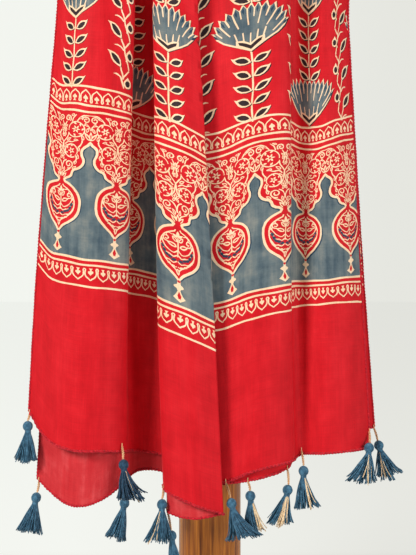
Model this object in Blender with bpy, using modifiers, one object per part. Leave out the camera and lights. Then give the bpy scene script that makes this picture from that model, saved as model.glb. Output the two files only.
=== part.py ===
"""Ajrakh stole on a plain wooden display stand: a printed stole, folded lengthwise, that hangs round the
stand's neck with both ends in front, and the twelve tassels along its two hems. Metres, +Z up, +Y away
from the viewer, origin at the centre of the base's underside."""

import math

import bmesh
import bpy
import numpy as np
from mathutils import Matrix, Vector

# The stole, flat
STOLE_WIDTH = 0.56
BAND = STOLE_WIDTH / 2  # the width once it is folded lengthwise
SHEET = 0.0010  # thickness of the cloth solid
FOLD_STEPS = 2  # steps round a quarter of the lengthwise fold
PANEL_STEPS = 24  # steps across each layer between its selvedge and that fold
HANG_STEPS = 3  # steps along each hanging end
GATHER_STEPS = 10  # steps from there to the yoke
HANG_SECTIONS = 12  # sections worked out along each hanging end
GATHER_SECTIONS = 5  # sections between a hanging end and the yoke
BETWEEN = 8  # places read between two sections

# Heights of the levels at which the folds are given
HEM_LEVEL = 0.200
BORDER_LEVEL = 0.389
UPPER_LEVEL = 0.695
PATH_FOOT = 0.150  # below the lowest hem, where the measured paths begin

LAYER_GAP = 0.0038  # between the front and the back layer at the lengthwise fold and round the neck
CLOSING = (0.40, 1.10)  # where the layers close up to it, as shares of a hanging end
SLIP_KEPT = 0.4  # of the back layer's slip, at the upper level

# The gathers round the neck
PLEAT_PITCH = 0.0613  # cloth in one pleat
PLEAT_SWING = 1.65  # radians, how far the cloth's heading swings either way
LEFT_PLEAT = 0.0077  # distance from the selvedge at which the first pleat starts
RIGHT_PLEAT = -0.0170
GATHER_FORWARD = 0.008  # how far the cloth bulges forward under the yoke
LEFT_SETTLE = 0.0026  # how much lower the left side lies on its arm

# The stand
POST_RADIUS = 0.034
BASE_RADIUS = 0.150
BASE_HEIGHT = 0.024
BASE_EDGE = 0.004
NECK_TOP = 1.165
NECK_ROUND = 0.012
CORNER_STEPS = 3
BASE_SIDES = 48
POST_SIDES = 36
ARM_SIDES = 20
ARM_EDGE = 0.006
ARM_REACH = 0.158
ARM_DEPTH = 0.050
ARM_HEIGHT = 0.030
ARM_TOP = 1.0792  # where the arm's top line would meet the neck's axis
ARM_SLOPE = math.radians(12.0)
SOCKET_TOP = 1.2  # of the cutter that fits the arms to the post
SOCKET_LOW = 0.9
SEAT_GAP = 0.0003  # between pieces that touch

# Folds of the left end, outer selvedge to lengthwise fold, in millimetres: across is the distance from the
# selvedge in the cloth, x and y are the front layer's place at the hem, at the border and at the upper level,
# gap is how far the back layer lies behind it and slip how far outward it has slipped at the hem
FOLD_COLUMNS = (
    "across", "hem_x", "hem_y", "border_x", "border_y", "upper_x", "upper_y", "gap", "slip",
)
LEFT_FOLDS = (
    (0, -193, -58, -183, -55, -160, -52, 12, -6),
    (42, -154, -80, -146, -80, -131, -76, 12, -5),
    (84, -112, -78, -104, -79, -95, -77, 9, -3),
    (108, -90, -63, -85, -64, -77, -66, 5, 0),
    (126, -82, -47, -89, -47, -89, -49, 4, 0),
    (150, -70, -36, -74, -33, -73, -34, 4, 0),
    (174, -49, -34, -54, -33, -54, -33, 4, 0),
    (194, -33, -48, -38, -47, -43, -46, 3.6, 0),
    (222, -48, -76, -54, -76, -59, -74, 3.6, 0),
    (250, -20, -94, -25, -94, -36, -90, 4, 0),
    (280, 13, -86, 4, -87, -12, -85, 3.2, 0),
)
# Folds of the right end, in the same way
RIGHT_FOLDS = (
    (0, 174, -30, 164, -28, 149, -24, 6, 17),
    (28, 151, -48, 144, -46, 133, -40, 6, 13),
    (62, 119, -56, 114, -54, 110, -46, 5, 8),
    (94, 97, -48, 92, -44, 91, -38, 4, 3),
    (112, 91, -52, 84, -50, 81, -46, 4, 0),
    (130, 86, -62, 84, -68, 83, -68, 4, 0),
    (163, 53, -78, 53, -80, 49, -80, 4, 0),
    (200, 19, -74, 15, -73, 5, -71, 3.6, 0),
    (226, -5, -69, -10, -69, -18, -67, 3.4, 0),
    (250, -14, -55, -19, -55, -27, -53, 3.2, 0),
    (280, 4, -44, -1, -43, -9, -43, 3.2, 0),
)
# Heights of the hems, in millimetres above the floor, by distance from the selvedge
HEM_COLUMNS = ("across", "left_front", "left_back", "right_front", "right_back")
HEM_HEIGHTS = (
    (0, 275, 203, 230, 250),
    (20, 252, 190, 230, 247),
    (50, 238, 178, 229, 242),
    (85, 235, 183, 227, 234),
    (110, 232, 196, 224, 224),
    (150, 227, 207, 220, 210),
    (175, 222, 203, 214, 205),
    (200, 208, 188, 204, 201),
    (225, 197, 174, 199, 199),
    (250, 186, 170, 197, 198),
    (280, 173, 173, 197, 197),
)
# The band's path from a hanging end over the yoke to the back of the neck, for the left side, in
# millimetres: centre of the band, then the direction from its outer to its inner edge
WRAP_COLUMNS = ("x", "y", "z", "toward_x", "toward_y", "toward_z")
WRAP_PATH = (
    (-97, -52, 960, 1.00, 0.00, 0.00),
    (-98, -50, 1010, 0.99, 0.02, 0.12),
    (-99, -40, 1058, 0.98, 0.02, 0.19),
    (-99, 0, 1080, 0.978, 0.00, 0.208),
    (-92, 40, 1066, 0.90, -0.30, 0.32),
    (-58, 76, 1050, 0.55, -0.60, 0.58),
    (0, 92, 1045, 0.00, -0.62, 0.78),
)

# Tassels: end, layer, distance from the selvedge in mm, how far above the hem's edge the tie starts on the
# front of the cloth in mm (0 is under the edge), length of the tie in mm, how far the tie and the tassel lean
# left and forward in degrees, and how wide the skirt spreads
TASSEL_COLUMNS = (
    "end", "layer", "across", "raised", "tie", "tie_left", "tie_forward", "left", "forward", "spread",
)
TASSELS = (
    ("left", "front", 1, 0, 8, 12, 20, -2, 2, 0.50),
    ("left", "front", 104, 5, 13, -8, 30, -6, 10, 0.85),
    ("left", "front", 222, 0, 10, 6, 14, 1, 8, 0.75),
    ("left", "back", 2, 0, 12, 8, 4, 10, 4, 0.85),
    ("left", "back", 112, 0, 14, -16, 10, 11, 2, 0.50),
    ("left", "back", 219, 0, 20, -12, 10, -6, 4, 0.50),
    ("right", "front", 3, 17, 13, 8, 42, 7, 10, 0.90),
    ("right", "front", 95, 4, 16, -6, 34, 2, 12, 0.70),
    ("right", "front", 202, 0, 16, -18, 18, -12, 10, 0.90),
    ("right", "back", 1, 0, 15, -18, -4, -14, 0, 0.80),
    ("right", "back", 134, 0, 16, -4, 4, 9, 0, 0.80),
    ("right", "back", 178, 0, 10, -14, -6, -4, -6, 0.50),
)
TASSEL_STRANDS = 8
STRAND_RINGS = (0.42, 0.72)  # how far out the inner and outer strands start, as shares of the head
STRAND_LEVELS = (0.0, 0.45, 1.0)
TASSEL_HEAD = 0.0048
HEAD_STRETCH = 1.15
SKIRT_LENGTH = 0.034
SKIRT_REACH = 0.0125
SKIRT_FLATNESS = 0.55  # of the skirt's spread, towards the cloth and away
STRAND_HALF = 0.0011
TIE_RADIUS = 0.0011
EDGE_STEP = 0.0010  # along the hem, to measure its slope

WOOD = (0.36, 0.19, 0.075, 1.0)
RED = (0.55, 0.012, 0.016, 1.0)
INDIGO = (0.045, 0.115, 0.19, 1.0)
CREAM = (0.72, 0.42, 0.22, 1.0)


def table(rows, columns):
    """A table's columns by name, as arrays."""
    return {name: np.array([row[i] for row in rows]) for i, name in enumerate(columns)}


def through(nodes, values, at):
    """Smooth curve through values at increasing nodes, read at the places in at."""
    nodes = np.asarray(nodes, float)
    values = np.asarray(values, float)
    at = np.asarray(at, float)
    slopes = np.gradient(values, nodes, axis=0)
    k = np.clip(np.searchsorted(nodes, at, side="right") - 1, 0, len(nodes) - 2)
    width = nodes[k + 1] - nodes[k]
    t = np.clip((at - nodes[k]) / width, 0, 1)
    over = at - np.clip(at, nodes[0], nodes[-1])
    extra = (1,) * (values.ndim - 1)
    t, width, over = (v.reshape(v.shape + extra) for v in (t, width, over))
    low, high = slopes[k] * width, slopes[k + 1] * width
    curve = (
        (2 * t**3 - 3 * t**2 + 1) * values[k]
        + (t**3 - 2 * t**2 + t) * low
        + (3 * t**2 - 2 * t**3) * values[k + 1]
        + (t**3 - t**2) * high
    )
    return curve + over * slopes[np.where(at < nodes[0], 0, np.where(at > nodes[-1], len(nodes) - 1, k))]


def smooth(t):
    t = np.clip(t, 0, 1)
    return t * t * (3 - 2 * t)


ACROSS = np.linspace(0, BAND, 113)  # where the sections are worked out


def pleat_heading(first):
    """The gathered cloth's heading at each point across, for pleats that start at this distance."""
    return PLEAT_SWING * np.sin(2 * math.pi * (ACROSS - first) / PLEAT_PITCH)


def drawn(heading, stretch):
    """The curve with this heading at each point across, centred."""
    step = ACROSS[1] - ACROSS[0]
    rise = np.stack([np.cos(heading), np.sin(heading)], axis=1) * stretch[:, None]
    middle = (rise[1:] + rise[:-1]) / 2 * step
    line = np.concatenate([[[0, 0]], np.cumsum(middle, axis=0)])
    return line - line.mean(axis=0)


def hanging_section(folds, side, level):
    """An end's section at a height, as inward and outward distances for each point across."""
    column = table(folds, FOLD_COLUMNS)
    levels = [HEM_LEVEL, BORDER_LEVEL, UPPER_LEVEL]
    x = np.stack([column["hem_x"], column["border_x"], column["upper_x"]]) / 1000
    y = np.stack([column["hem_y"], column["border_y"], column["upper_y"]]) / 1000
    rows = np.stack([-side * x, -y], axis=2)
    at = through(levels, rows, [level])[0]
    return through(column["across"] / 1000, at, ACROSS)


def gathered_section(folds, side, share):
    """A section between the upper level, share 0, and the gathers at the yoke, share 1, centred."""
    first = LEFT_PLEAT if side < 0 else RIGHT_PLEAT
    loose = hanging_section(folds, side, UPPER_LEVEL)
    rise = np.gradient(loose, ACROSS, axis=0)
    heading = np.unwrap(np.arctan2(rise[:, 1], rise[:, 0]))
    stretch = np.linalg.norm(rise, axis=1)
    gathered = pleat_heading(first)
    found = drawn(heading * (1 - share) + gathered * share, stretch * (1 - share) + share)
    breadths = [np.ptp(line[:, 0]) for line in (loose, drawn(gathered, np.ones_like(ACROSS)), found)]
    narrower = (breadths[0] * (1 - share) + breadths[1] * share) / breadths[2]
    return found * np.array([narrower, narrower**-0.5])


def end_sections(folds, side):
    """Sections of one end from below the hem up to the yoke. side is -1 on the left and 1 on the right."""
    found = []
    for level in np.linspace(PATH_FOOT, UPPER_LEVEL, HANG_SECTIONS):
        inward, outward = hanging_section(folds, side, level).T
        found.append(np.stack([-side * inward, -outward, np.full_like(inward, level)], axis=1))
    start = found[-1].mean(axis=0)
    x, y, z = WRAP_PATH[0][:3]
    goal = np.array([-side * x, y, z]) / 1000
    for i in range(GATHER_SECTIONS):
        share = (i + 1) / (GATHER_SECTIONS + 1)
        inward, outward = gathered_section(folds, side, float(smooth(share))).T
        centre = start + (goal - start) * np.array([smooth(share), smooth(share), share])
        centre[1] -= GATHER_FORWARD * math.sin(math.pi * share)
        found.append(centre + np.stack([-side * inward, -outward, 0 * inward], axis=1))
    return found


def wrap_sections():
    """Sections round the neck, from the left yoke over the back to the right yoke."""
    column = table(WRAP_PATH, WRAP_COLUMNS)
    centre = np.stack([column["x"], column["y"], column["z"]], axis=1) / 1000
    toward = np.stack([column["toward_x"], column["toward_y"], column["toward_z"]], axis=1)
    mirror = np.array([-1, 1, 1])
    centre = np.concatenate([centre, centre[-2::-1] * mirror])
    toward = np.concatenate([toward, toward[-2::-1] * mirror])
    count = len(centre)
    at = np.linspace(0, count - 1, 2 * count - 1)
    centre, toward = through(range(count), centre, at), through(range(count), toward, at)
    settled = np.sin(2 * math.pi * np.linspace(0, 1, len(centre))).clip(0)
    centre[:, 2] -= LEFT_SETTLE * settled
    ahead = np.gradient(centre, axis=0)
    found = []
    for i, (c, w, t) in enumerate(zip(centre, toward, ahead)):
        first = LEFT_PLEAT + (RIGHT_PLEAT - LEFT_PLEAT) * smooth(i / (len(centre) - 1))
        inward, outward = drawn(pleat_heading(first), np.ones_like(ACROSS)).T
        w = w - t * (w @ t) / (t @ t)
        w /= np.linalg.norm(w)
        n = np.cross(w, t)
        n /= np.linalg.norm(n)
        found.append(c + inward[:, None] * w + outward[:, None] * n)
    return found


class Stole:
    """The stole's shape: its front layer's sections, in the order left hem, neck, right hem."""

    def __init__(self):
        left = end_sections(LEFT_FOLDS, -1)
        right = end_sections(RIGHT_FOLDS, 1)
        sections = np.array(left + wrap_sections() + right[::-1])
        self.last = len(sections) - 1
        self.places = np.linspace(0, self.last, self.last * BETWEEN + 1)
        self.points = through(range(self.last + 1), sections, self.places)
        across = np.gradient(self.points, axis=1)
        normal = np.cross(across, np.gradient(self.points, axis=0))
        self.normals = normal / np.linalg.norm(normal, axis=2, keepdims=True)
        self.inwards = across / np.linalg.norm(across, axis=2, keepdims=True)
        self.hems = table(HEM_HEIGHTS, HEM_COLUMNS)
        self.folds = {"left": table(LEFT_FOLDS, FOLD_COLUMNS), "right": table(RIGHT_FOLDS, FOLD_COLUMNS)}

    def at(self, across, place):
        """Point, normal and inward direction of the front layer, by distance across and place."""
        column = min(max(across / BAND * (len(ACROSS) - 1), 0), len(ACROSS) - 1.001)
        row = min(max(place * BETWEEN, 0), len(self.places) - 1.001)
        i, j = int(row), int(column)
        a, b = row - i, column - j
        found = []
        for grid in (self.points, self.normals, self.inwards):
            low = (1 - b) * grid[i, j] + b * grid[i, j + 1]
            high = (1 - b) * grid[i + 1, j] + b * grid[i + 1, j + 1]
            found.append((1 - a) * low + a * high)
        return found

    def hem(self, end, layer, across):
        """The hem's place among the sections."""
        height = through(self.hems["across"], self.hems[f"{end}_{layer}"], across * 1000) / 1000
        from_foot = (height - PATH_FOOT) / (UPPER_LEVEL - PATH_FOOT) * (HANG_SECTIONS - 1)
        return from_foot if end == "left" else self.last - from_foot

    def gap(self, across, place):
        """Distance between the layers, which closes up towards the yoke."""
        column = self.folds["left" if place < self.last / 2 else "right"]
        hanging = through(column["across"], column["gap"], across * 1000) / 1000
        from_end = min(place, self.last - place)
        start, end = (share * HANG_SECTIONS for share in CLOSING)
        closed = smooth((from_end - start) / (end - start))
        return LAYER_GAP + (hanging - LAYER_GAP) * (1 - closed)

    def slip(self, across, place):
        """How far the back layer has slipped outward, least where the cloth is gathered."""
        column = self.folds["left" if place < self.last / 2 else "right"]
        at_hem = through(column["across"], column["slip"], across * 1000) / 1000
        from_end = min(place, self.last - place)
        kept = 1 - (1 - SLIP_KEPT) * smooth(from_end / HANG_SECTIONS)
        return at_hem * kept * (1 - smooth((from_end - HANG_SECTIONS) / GATHER_SECTIONS))

    def layer(self, width):
        """The layer at this distance from the front selvedge, with its distance across the folded band."""
        turn = LAYER_GAP / 2
        quarter = turn * math.pi / 2
        from_fold = abs(width - BAND)
        if from_fold < quarter:
            across = BAND - turn + turn * math.cos(from_fold / turn)
        else:
            across = BAND - turn - (from_fold - quarter)
        return ("front" if width <= BAND else "back"), across

    def place(self, width, place):
        """The cloth's point at a distance from its front selvedge and a place among the sections."""
        turn = LAYER_GAP / 2
        layer, across = self.layer(width)
        side = 1 if layer == "front" else -1
        from_fold = abs(width - BAND)
        point, normal, inward = self.at(across, place)
        if from_fold < turn * math.pi / 2:
            return point + normal * turn * (side * math.sin(from_fold / turn) - 1)
        if layer == "front":
            return point
        return point - normal * self.gap(across, place) - inward * self.slip(across, place)

    def hem_point(self, end, width):
        """The point of the hem at this distance from the front selvedge."""
        layer, across = self.layer(width)
        return self.place(width, self.hem(end, layer, across))

    def front_point(self, end, width, above, clear):
        """A point in front of the cloth, this far above the front layer's hem and clear of its face."""
        hem = self.hem(end, "front", width)
        step = above / (UPPER_LEVEL - PATH_FOOT) * (HANG_SECTIONS - 1)
        point, normal, inward = self.at(width, hem + step if end == "left" else hem - step)
        return point + normal * clear


def widths():
    """Distances from the front selvedge at which the cloth is sampled."""
    quarter = LAYER_GAP / 2 * math.pi / 2
    front = np.linspace(0, BAND - quarter, PANEL_STEPS + 1)
    fold = np.linspace(-quarter, quarter, 2 * FOLD_STEPS + 1)[1:-1] + BAND
    return np.concatenate([front, fold, STOLE_WIDTH - front[::-1]])


def places(cloth, width):
    """Places among the sections at which the cloth is sampled, from hem to hem."""
    layer, across = cloth.layer(width)
    top = HANG_SECTIONS - 1
    left = np.linspace(cloth.hem("left", layer, across), top, HANG_STEPS + 1)
    right = np.linspace(cloth.last - top, cloth.hem("right", layer, across), HANG_STEPS + 1)
    gathered = np.linspace(top, top + GATHER_SECTIONS + 1, GATHER_STEPS + 1)[1:]
    neck = np.arange(gathered[-1] + 1, cloth.last - gathered[-1])
    return np.concatenate([left, gathered, neck, cloth.last - gathered[::-1], right])


def material(name, colour, roughness):
    found = bpy.data.materials.new(name)
    found.use_nodes = True
    shader = found.node_tree.nodes["Principled BSDF"]
    shader.inputs["Base Color"].default_value = colour
    shader.inputs["Roughness"].default_value = roughness
    shader.inputs["Metallic"].default_value = 0.0
    found.diffuse_color = colour
    return found


def add(collection, name, mesh, finish):
    """One named object with its material, in the part's collection."""
    piece = bpy.data.objects.new(name, mesh)
    mesh.materials.append(finish)
    collection.objects.link(piece)
    mesh.shade_smooth()
    mesh.set_sharp_from_angle(angle=math.radians(40))
    return piece


def make_stole(collection, cloth, finish):
    """The whole stole as one sheet, swept through its folds and thickened."""
    bm = bmesh.new()
    grid = [[bm.verts.new(cloth.place(w, p)) for p in places(cloth, w)] for w in widths()]
    for i in range(len(grid) - 1):
        for j in range(len(grid[0]) - 1):
            bm.faces.new((grid[i][j], grid[i + 1][j], grid[i + 1][j + 1], grid[i][j + 1]))
    bmesh.ops.recalc_face_normals(bm, faces=bm.faces)
    mesh = bpy.data.meshes.new("stole")
    bm.to_mesh(mesh)
    bm.free()
    piece = add(collection, "stole", mesh, finish)
    shell = piece.modifiers.new("thickness", "SOLIDIFY")
    shell.thickness = SHEET
    shell.offset = 0.0
    shell.use_rim = True
    return piece


def boolean(target, cutter, operation):
    change = target.modifiers.new(operation.lower(), "BOOLEAN")
    change.operation = operation
    change.solver = "EXACT"
    change.object = cutter
    cutter.hide_render = True
    cutter.display_type = "WIRE"


def turned(name, profile, sides):
    """A mesh turned about Z from a profile of (radius, height) points, its outer side top to bottom."""
    outline = bpy.data.meshes.new(name + "_profile")
    points = [(radius, 0, height) for radius, height in profile]
    outline.from_pydata(points, [(i, i + 1) for i in range(len(points) - 1)], [])
    piece = bpy.data.objects.new(name + "_profile", outline)
    bpy.context.scene.collection.objects.link(piece)
    screw = piece.modifiers.new("turned", "SCREW")
    screw.steps = screw.render_steps = sides
    screw.use_merge_vertices = True
    screw.merge_threshold = 0.00001
    bpy.context.view_layer.update()
    mesh = bpy.data.meshes.new_from_object(piece.evaluated_get(bpy.context.evaluated_depsgraph_get()))
    bpy.data.objects.remove(piece)
    return mesh


def corner(radius, height, size):
    """A rounded outer corner of a turned profile."""
    turns = [math.pi / 2 * (1 - i / CORNER_STEPS) for i in range(CORNER_STEPS + 1)]
    return [(radius - size + size * math.cos(t), height - size + size * math.sin(t)) for t in turns]


def make_base(collection, wood):
    profile = [(0, BASE_HEIGHT), *corner(BASE_RADIUS, BASE_HEIGHT, BASE_EDGE), (BASE_RADIUS, 0), (0, 0)]
    add(collection, "base", turned("base", profile, BASE_SIDES), wood)


def make_post(collection, wood):
    foot = BASE_HEIGHT + SEAT_GAP
    profile = [(0, NECK_TOP), *corner(POST_RADIUS, NECK_TOP, NECK_ROUND), (POST_RADIUS, foot), (0, foot)]
    add(collection, "post", turned("post", profile, POST_SIDES), wood)


def make_arms(collection, cutters, wood):
    """The two sloping oval arms of the yoke, hollowed at their inner ends to fit the post."""
    hole = POST_RADIUS + SEAT_GAP
    profile = [(0, SOCKET_TOP), (hole, SOCKET_TOP), (hole, SOCKET_LOW), (0, SOCKET_LOW)]
    socket = add(cutters, "arm_socket", turned("arm_socket", profile, POST_SIDES), wood)
    start = POST_RADIUS / 2
    middle = (start + ARM_REACH) / 2
    height = ARM_TOP - ARM_HEIGHT / 2 / math.cos(ARM_SLOPE) - middle * math.tan(ARM_SLOPE)
    length = (ARM_REACH - start) / math.cos(ARM_SLOPE)
    for side, name in ((-1, "arm_left"), (1, "arm_right")):
        bm = bmesh.new()
        bmesh.ops.create_cone(bm, cap_ends=True, segments=ARM_SIDES, radius1=0.5, radius2=0.5, depth=1)
        bmesh.ops.scale(bm, vec=(ARM_HEIGHT, ARM_DEPTH, length), verts=bm.verts)
        turn = Matrix.Rotation(math.pi / 2 + side * ARM_SLOPE, 3, "Y")
        bmesh.ops.rotate(bm, matrix=turn, verts=bm.verts)
        bmesh.ops.translate(bm, vec=(side * middle, 0, height), verts=bm.verts)
        mesh = bpy.data.meshes.new(name)
        bm.to_mesh(mesh)
        bm.free()
        arm = add(collection, name, mesh, wood)
        boolean(arm, socket, "DIFFERENCE")
        edge = arm.modifiers.new("rounded", "BEVEL")
        edge.width = ARM_EDGE
        edge.segments = 2
        edge.limit_method = "ANGLE"
        edge.angle_limit = math.radians(50)


def leaning(left, forward):
    """Rotation that leans what hangs down to the left and forward by these degrees."""
    return Matrix.Rotation(math.radians(left), 3, "Y") @ Matrix.Rotation(math.radians(-forward), 3, "X")


def tie_top(cloth, row, width):
    """Where a tie starts: just under the hem's edge, or on the front of the cloth above it."""
    if row["raised"]:
        clear = SHEET / 2 + SEAT_GAP + TIE_RADIUS
        return Vector(cloth.front_point(row["end"], width, row["raised"] / 1000, clear))
    here = Vector(cloth.hem_point(row["end"], width))
    beside = (Vector(cloth.hem_point(row["end"], width + step)) - here for step in (-EDGE_STEP, EDGE_STEP))
    slope = max(abs(edge.z) / edge.xy.length for edge in beside)
    return here - Vector((0, 0, SEAT_GAP + TIE_RADIUS * slope))


def make_tie(collection, name, top, bottom, cord):
    """A tie's cream cord, from the hem to the tassel's head."""
    tube = bpy.data.curves.new(name, "CURVE")
    tube.dimensions = "3D"
    tube.bevel_depth = TIE_RADIUS
    tube.bevel_resolution = 0
    tube.use_fill_caps = True
    route = tube.splines.new("POLY")
    route.points.add(2)
    for i, point in enumerate(route.points):
        point.co = (*top.lerp(bottom, i / 2), 1)
    tube.materials.append(cord)
    collection.objects.link(bpy.data.objects.new(name, tube))


def make_tassel(collection, name, cloth, row, yarn, cord):
    """One tassel under the hem: its cream tie, its bound head and its skirt of cut strands."""
    width = row["across"] / 1000 if row["layer"] == "front" else STOLE_WIDTH - row["across"] / 1000
    down = Vector((0, 0, -1))
    top = tie_top(cloth, row, width)
    bottom = top + leaning(row["tie_left"], row["tie_forward"]) @ down * (row["tie"] / 1000)
    make_tie(collection, name + "_tie", top, bottom, cord)
    hang = leaning(row["left"], row["forward"])
    piece = add(collection, name, tassel_mesh(name, row["spread"]), yarn)
    centre = bottom + hang @ down * (SEAT_GAP + TASSEL_HEAD * HEAD_STRETCH)
    piece.matrix_world = Matrix.Translation(centre) @ hang.to_4x4()


def strand(direction, ring, spread, length):
    """One square strand of a skirt, from inside the head outward and down."""
    outward = Vector((math.cos(direction), math.sin(direction) * SKIRT_FLATNESS, 0))
    side = Vector((-math.sin(direction), math.cos(direction), 0))
    face = Vector((math.cos(direction), math.sin(direction), 0))
    bm = bmesh.new()
    rings = []
    for share in STRAND_LEVELS:
        reach = TASSEL_HEAD * ring * 0.75 + spread * SKIRT_REACH * ring * share**0.8
        at = outward * reach + Vector((0, 0, -TASSEL_HEAD * 0.55 - length * share))
        half = STRAND_HALF * (1 + 0.5 * share)
        corners = (at + face * half, at + side * half, at - face * half, at - side * half)
        rings.append([bm.verts.new(corner) for corner in corners])
    for low, high in zip(rings, rings[1:]):
        for k in range(4):
            bm.faces.new((low[k], low[(k + 1) % 4], high[(k + 1) % 4], high[k]))
    bm.faces.new(rings[0][::-1])
    bm.faces.new(rings[-1])
    bmesh.ops.recalc_face_normals(bm, faces=bm.faces)
    mesh = bpy.data.meshes.new("strand")
    bm.to_mesh(mesh)
    bm.free()
    return mesh


def tassel_mesh(name, spread):
    """A bound head with strands fused to it, hanging down -Z from the head's centre."""
    bm = bmesh.new()
    bmesh.ops.create_uvsphere(bm, u_segments=8, v_segments=4, radius=TASSEL_HEAD)
    bmesh.ops.scale(bm, vec=(1, 1, HEAD_STRETCH), verts=bm.verts)
    body = bpy.data.meshes.new(name + "_head")
    bm.to_mesh(body)
    bm.free()
    pieces = [bpy.data.objects.new(name + "_head", body)]
    for i in range(TASSEL_STRANDS):
        length = SKIRT_LENGTH * (1.0 - 0.05 * ((i * 5) % 3))
        direction = 2 * math.pi * (i + 0.5) / TASSEL_STRANDS
        mesh = strand(direction, STRAND_RINGS[i % 2], spread, length)
        pieces.append(bpy.data.objects.new(f"{name}_strand_{i}", mesh))
    head = pieces[0]
    for piece in pieces:
        bpy.context.scene.collection.objects.link(piece)
        if piece is not head:
            boolean(head, piece, "UNION")
    bpy.context.view_layer.update()
    ready = head.evaluated_get(bpy.context.evaluated_depsgraph_get())
    mesh = bpy.data.meshes.new_from_object(ready)
    for piece in pieces:
        bpy.data.objects.remove(piece)
    return mesh


def main():
    for old in list(bpy.data.objects):
        bpy.data.objects.remove(old)
    part = bpy.data.collections.new("ajrakh_stole_on_stand")
    cutters = bpy.data.collections.new("cutters")
    for found in (part, cutters):
        bpy.context.scene.collection.children.link(found)
    wood = material("wood", WOOD, 0.45)
    cloth_red = material("printed_cloth", RED, 0.7)
    yarn = material("indigo_yarn", INDIGO, 0.85)
    cord = material("cream_cord", CREAM, 0.8)
    cloth = Stole()
    make_stole(part, cloth, cloth_red)
    make_base(part, wood)
    make_post(part, wood)
    make_arms(part, cutters, wood)
    for i, values in enumerate(TASSELS):
        row = dict(zip(TASSEL_COLUMNS, values))
        make_tassel(part, f"tassel_{row['end']}_{i % 6 + 1}", cloth, row, yarn, cord)


if __name__ == "__main__":
    main()
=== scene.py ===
"""Looks of the ajrakh stole on its wooden display stand: the printed cloth, its stitched edges, its tassels,
the wood and the studio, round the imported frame. Metres, +Z up, +Y away from the viewer."""

import math

import bpy
import numpy as np
from mathutils import Matrix, Vector, geometry


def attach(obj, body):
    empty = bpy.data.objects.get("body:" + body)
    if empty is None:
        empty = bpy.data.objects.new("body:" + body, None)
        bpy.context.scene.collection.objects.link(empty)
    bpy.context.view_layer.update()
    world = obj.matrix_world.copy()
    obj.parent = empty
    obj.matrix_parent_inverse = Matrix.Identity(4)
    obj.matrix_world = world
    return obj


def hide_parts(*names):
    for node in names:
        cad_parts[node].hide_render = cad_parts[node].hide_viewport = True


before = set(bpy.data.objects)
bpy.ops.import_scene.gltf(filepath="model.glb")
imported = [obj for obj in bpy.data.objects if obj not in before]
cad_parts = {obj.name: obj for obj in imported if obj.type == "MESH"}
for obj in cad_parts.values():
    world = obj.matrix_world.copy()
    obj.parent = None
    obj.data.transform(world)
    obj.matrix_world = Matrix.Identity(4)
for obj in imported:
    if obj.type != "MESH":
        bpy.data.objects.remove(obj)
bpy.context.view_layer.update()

# The stole's shape, as in the part's source
STOLE_WIDTH = 0.56
BAND = STOLE_WIDTH / 2
SHEET = 0.0010
HANG_SECTIONS = 12
GATHER_SECTIONS = 5
BETWEEN = 8
HEM_LEVEL = 0.200
BORDER_LEVEL = 0.389
UPPER_LEVEL = 0.695
PATH_FOOT = 0.150
LAYER_GAP = 0.0038
CLOSING = (0.40, 1.10)
SLIP_KEPT = 0.4
PLEAT_PITCH = 0.0613
PLEAT_SWING = 1.65
LEFT_PLEAT = 0.0077
RIGHT_PLEAT = -0.0170
GATHER_FORWARD = 0.008
LEFT_SETTLE = 0.0026
SEAT_GAP = 0.0003
TASSEL_HEAD = 0.0048
HEAD_STRETCH = 1.15
SKIRT_LENGTH = 0.034
SKIRT_REACH = 0.0125
SKIRT_FLATNESS = 0.55
TIE_RADIUS = 0.0011
EDGE_STEP = 0.0010

FOLD_COLUMNS = (
    "across", "hem_x", "hem_y", "border_x", "border_y", "upper_x", "upper_y", "gap", "slip",
)
LEFT_FOLDS = (
    (0, -193, -58, -183, -55, -160, -52, 12, -6),
    (42, -154, -80, -146, -80, -131, -76, 12, -5),
    (84, -112, -78, -104, -79, -95, -77, 9, -3),
    (108, -90, -63, -85, -64, -77, -66, 5, 0),
    (126, -82, -47, -89, -47, -89, -49, 4, 0),
    (150, -70, -36, -74, -33, -73, -34, 4, 0),
    (174, -49, -34, -54, -33, -54, -33, 4, 0),
    (194, -33, -48, -38, -47, -43, -46, 3.6, 0),
    (222, -48, -76, -54, -76, -59, -74, 3.6, 0),
    (250, -20, -94, -25, -94, -36, -90, 4, 0),
    (280, 13, -86, 4, -87, -12, -85, 3.2, 0),
)
RIGHT_FOLDS = (
    (0, 174, -30, 164, -28, 149, -24, 6, 17),
    (28, 151, -48, 144, -46, 133, -40, 6, 13),
    (62, 119, -56, 114, -54, 110, -46, 5, 8),
    (94, 97, -48, 92, -44, 91, -38, 4, 3),
    (112, 91, -52, 84, -50, 81, -46, 4, 0),
    (130, 86, -62, 84, -68, 83, -68, 4, 0),
    (163, 53, -78, 53, -80, 49, -80, 4, 0),
    (200, 19, -74, 15, -73, 5, -71, 3.6, 0),
    (226, -5, -69, -10, -69, -18, -67, 3.4, 0),
    (250, -14, -55, -19, -55, -27, -53, 3.2, 0),
    (280, 4, -44, -1, -43, -9, -43, 3.2, 0),
)
HEM_COLUMNS = ("across", "left_front", "left_back", "right_front", "right_back")
HEM_HEIGHTS = (
    (0, 275, 203, 230, 250),
    (20, 252, 190, 230, 247),
    (50, 238, 178, 229, 242),
    (85, 235, 183, 227, 234),
    (110, 232, 196, 224, 224),
    (150, 227, 207, 220, 210),
    (175, 222, 203, 214, 205),
    (200, 208, 188, 204, 201),
    (225, 197, 174, 199, 199),
    (250, 186, 170, 197, 198),
    (280, 173, 173, 197, 197),
)
WRAP_COLUMNS = ("x", "y", "z", "toward_x", "toward_y", "toward_z")
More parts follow.
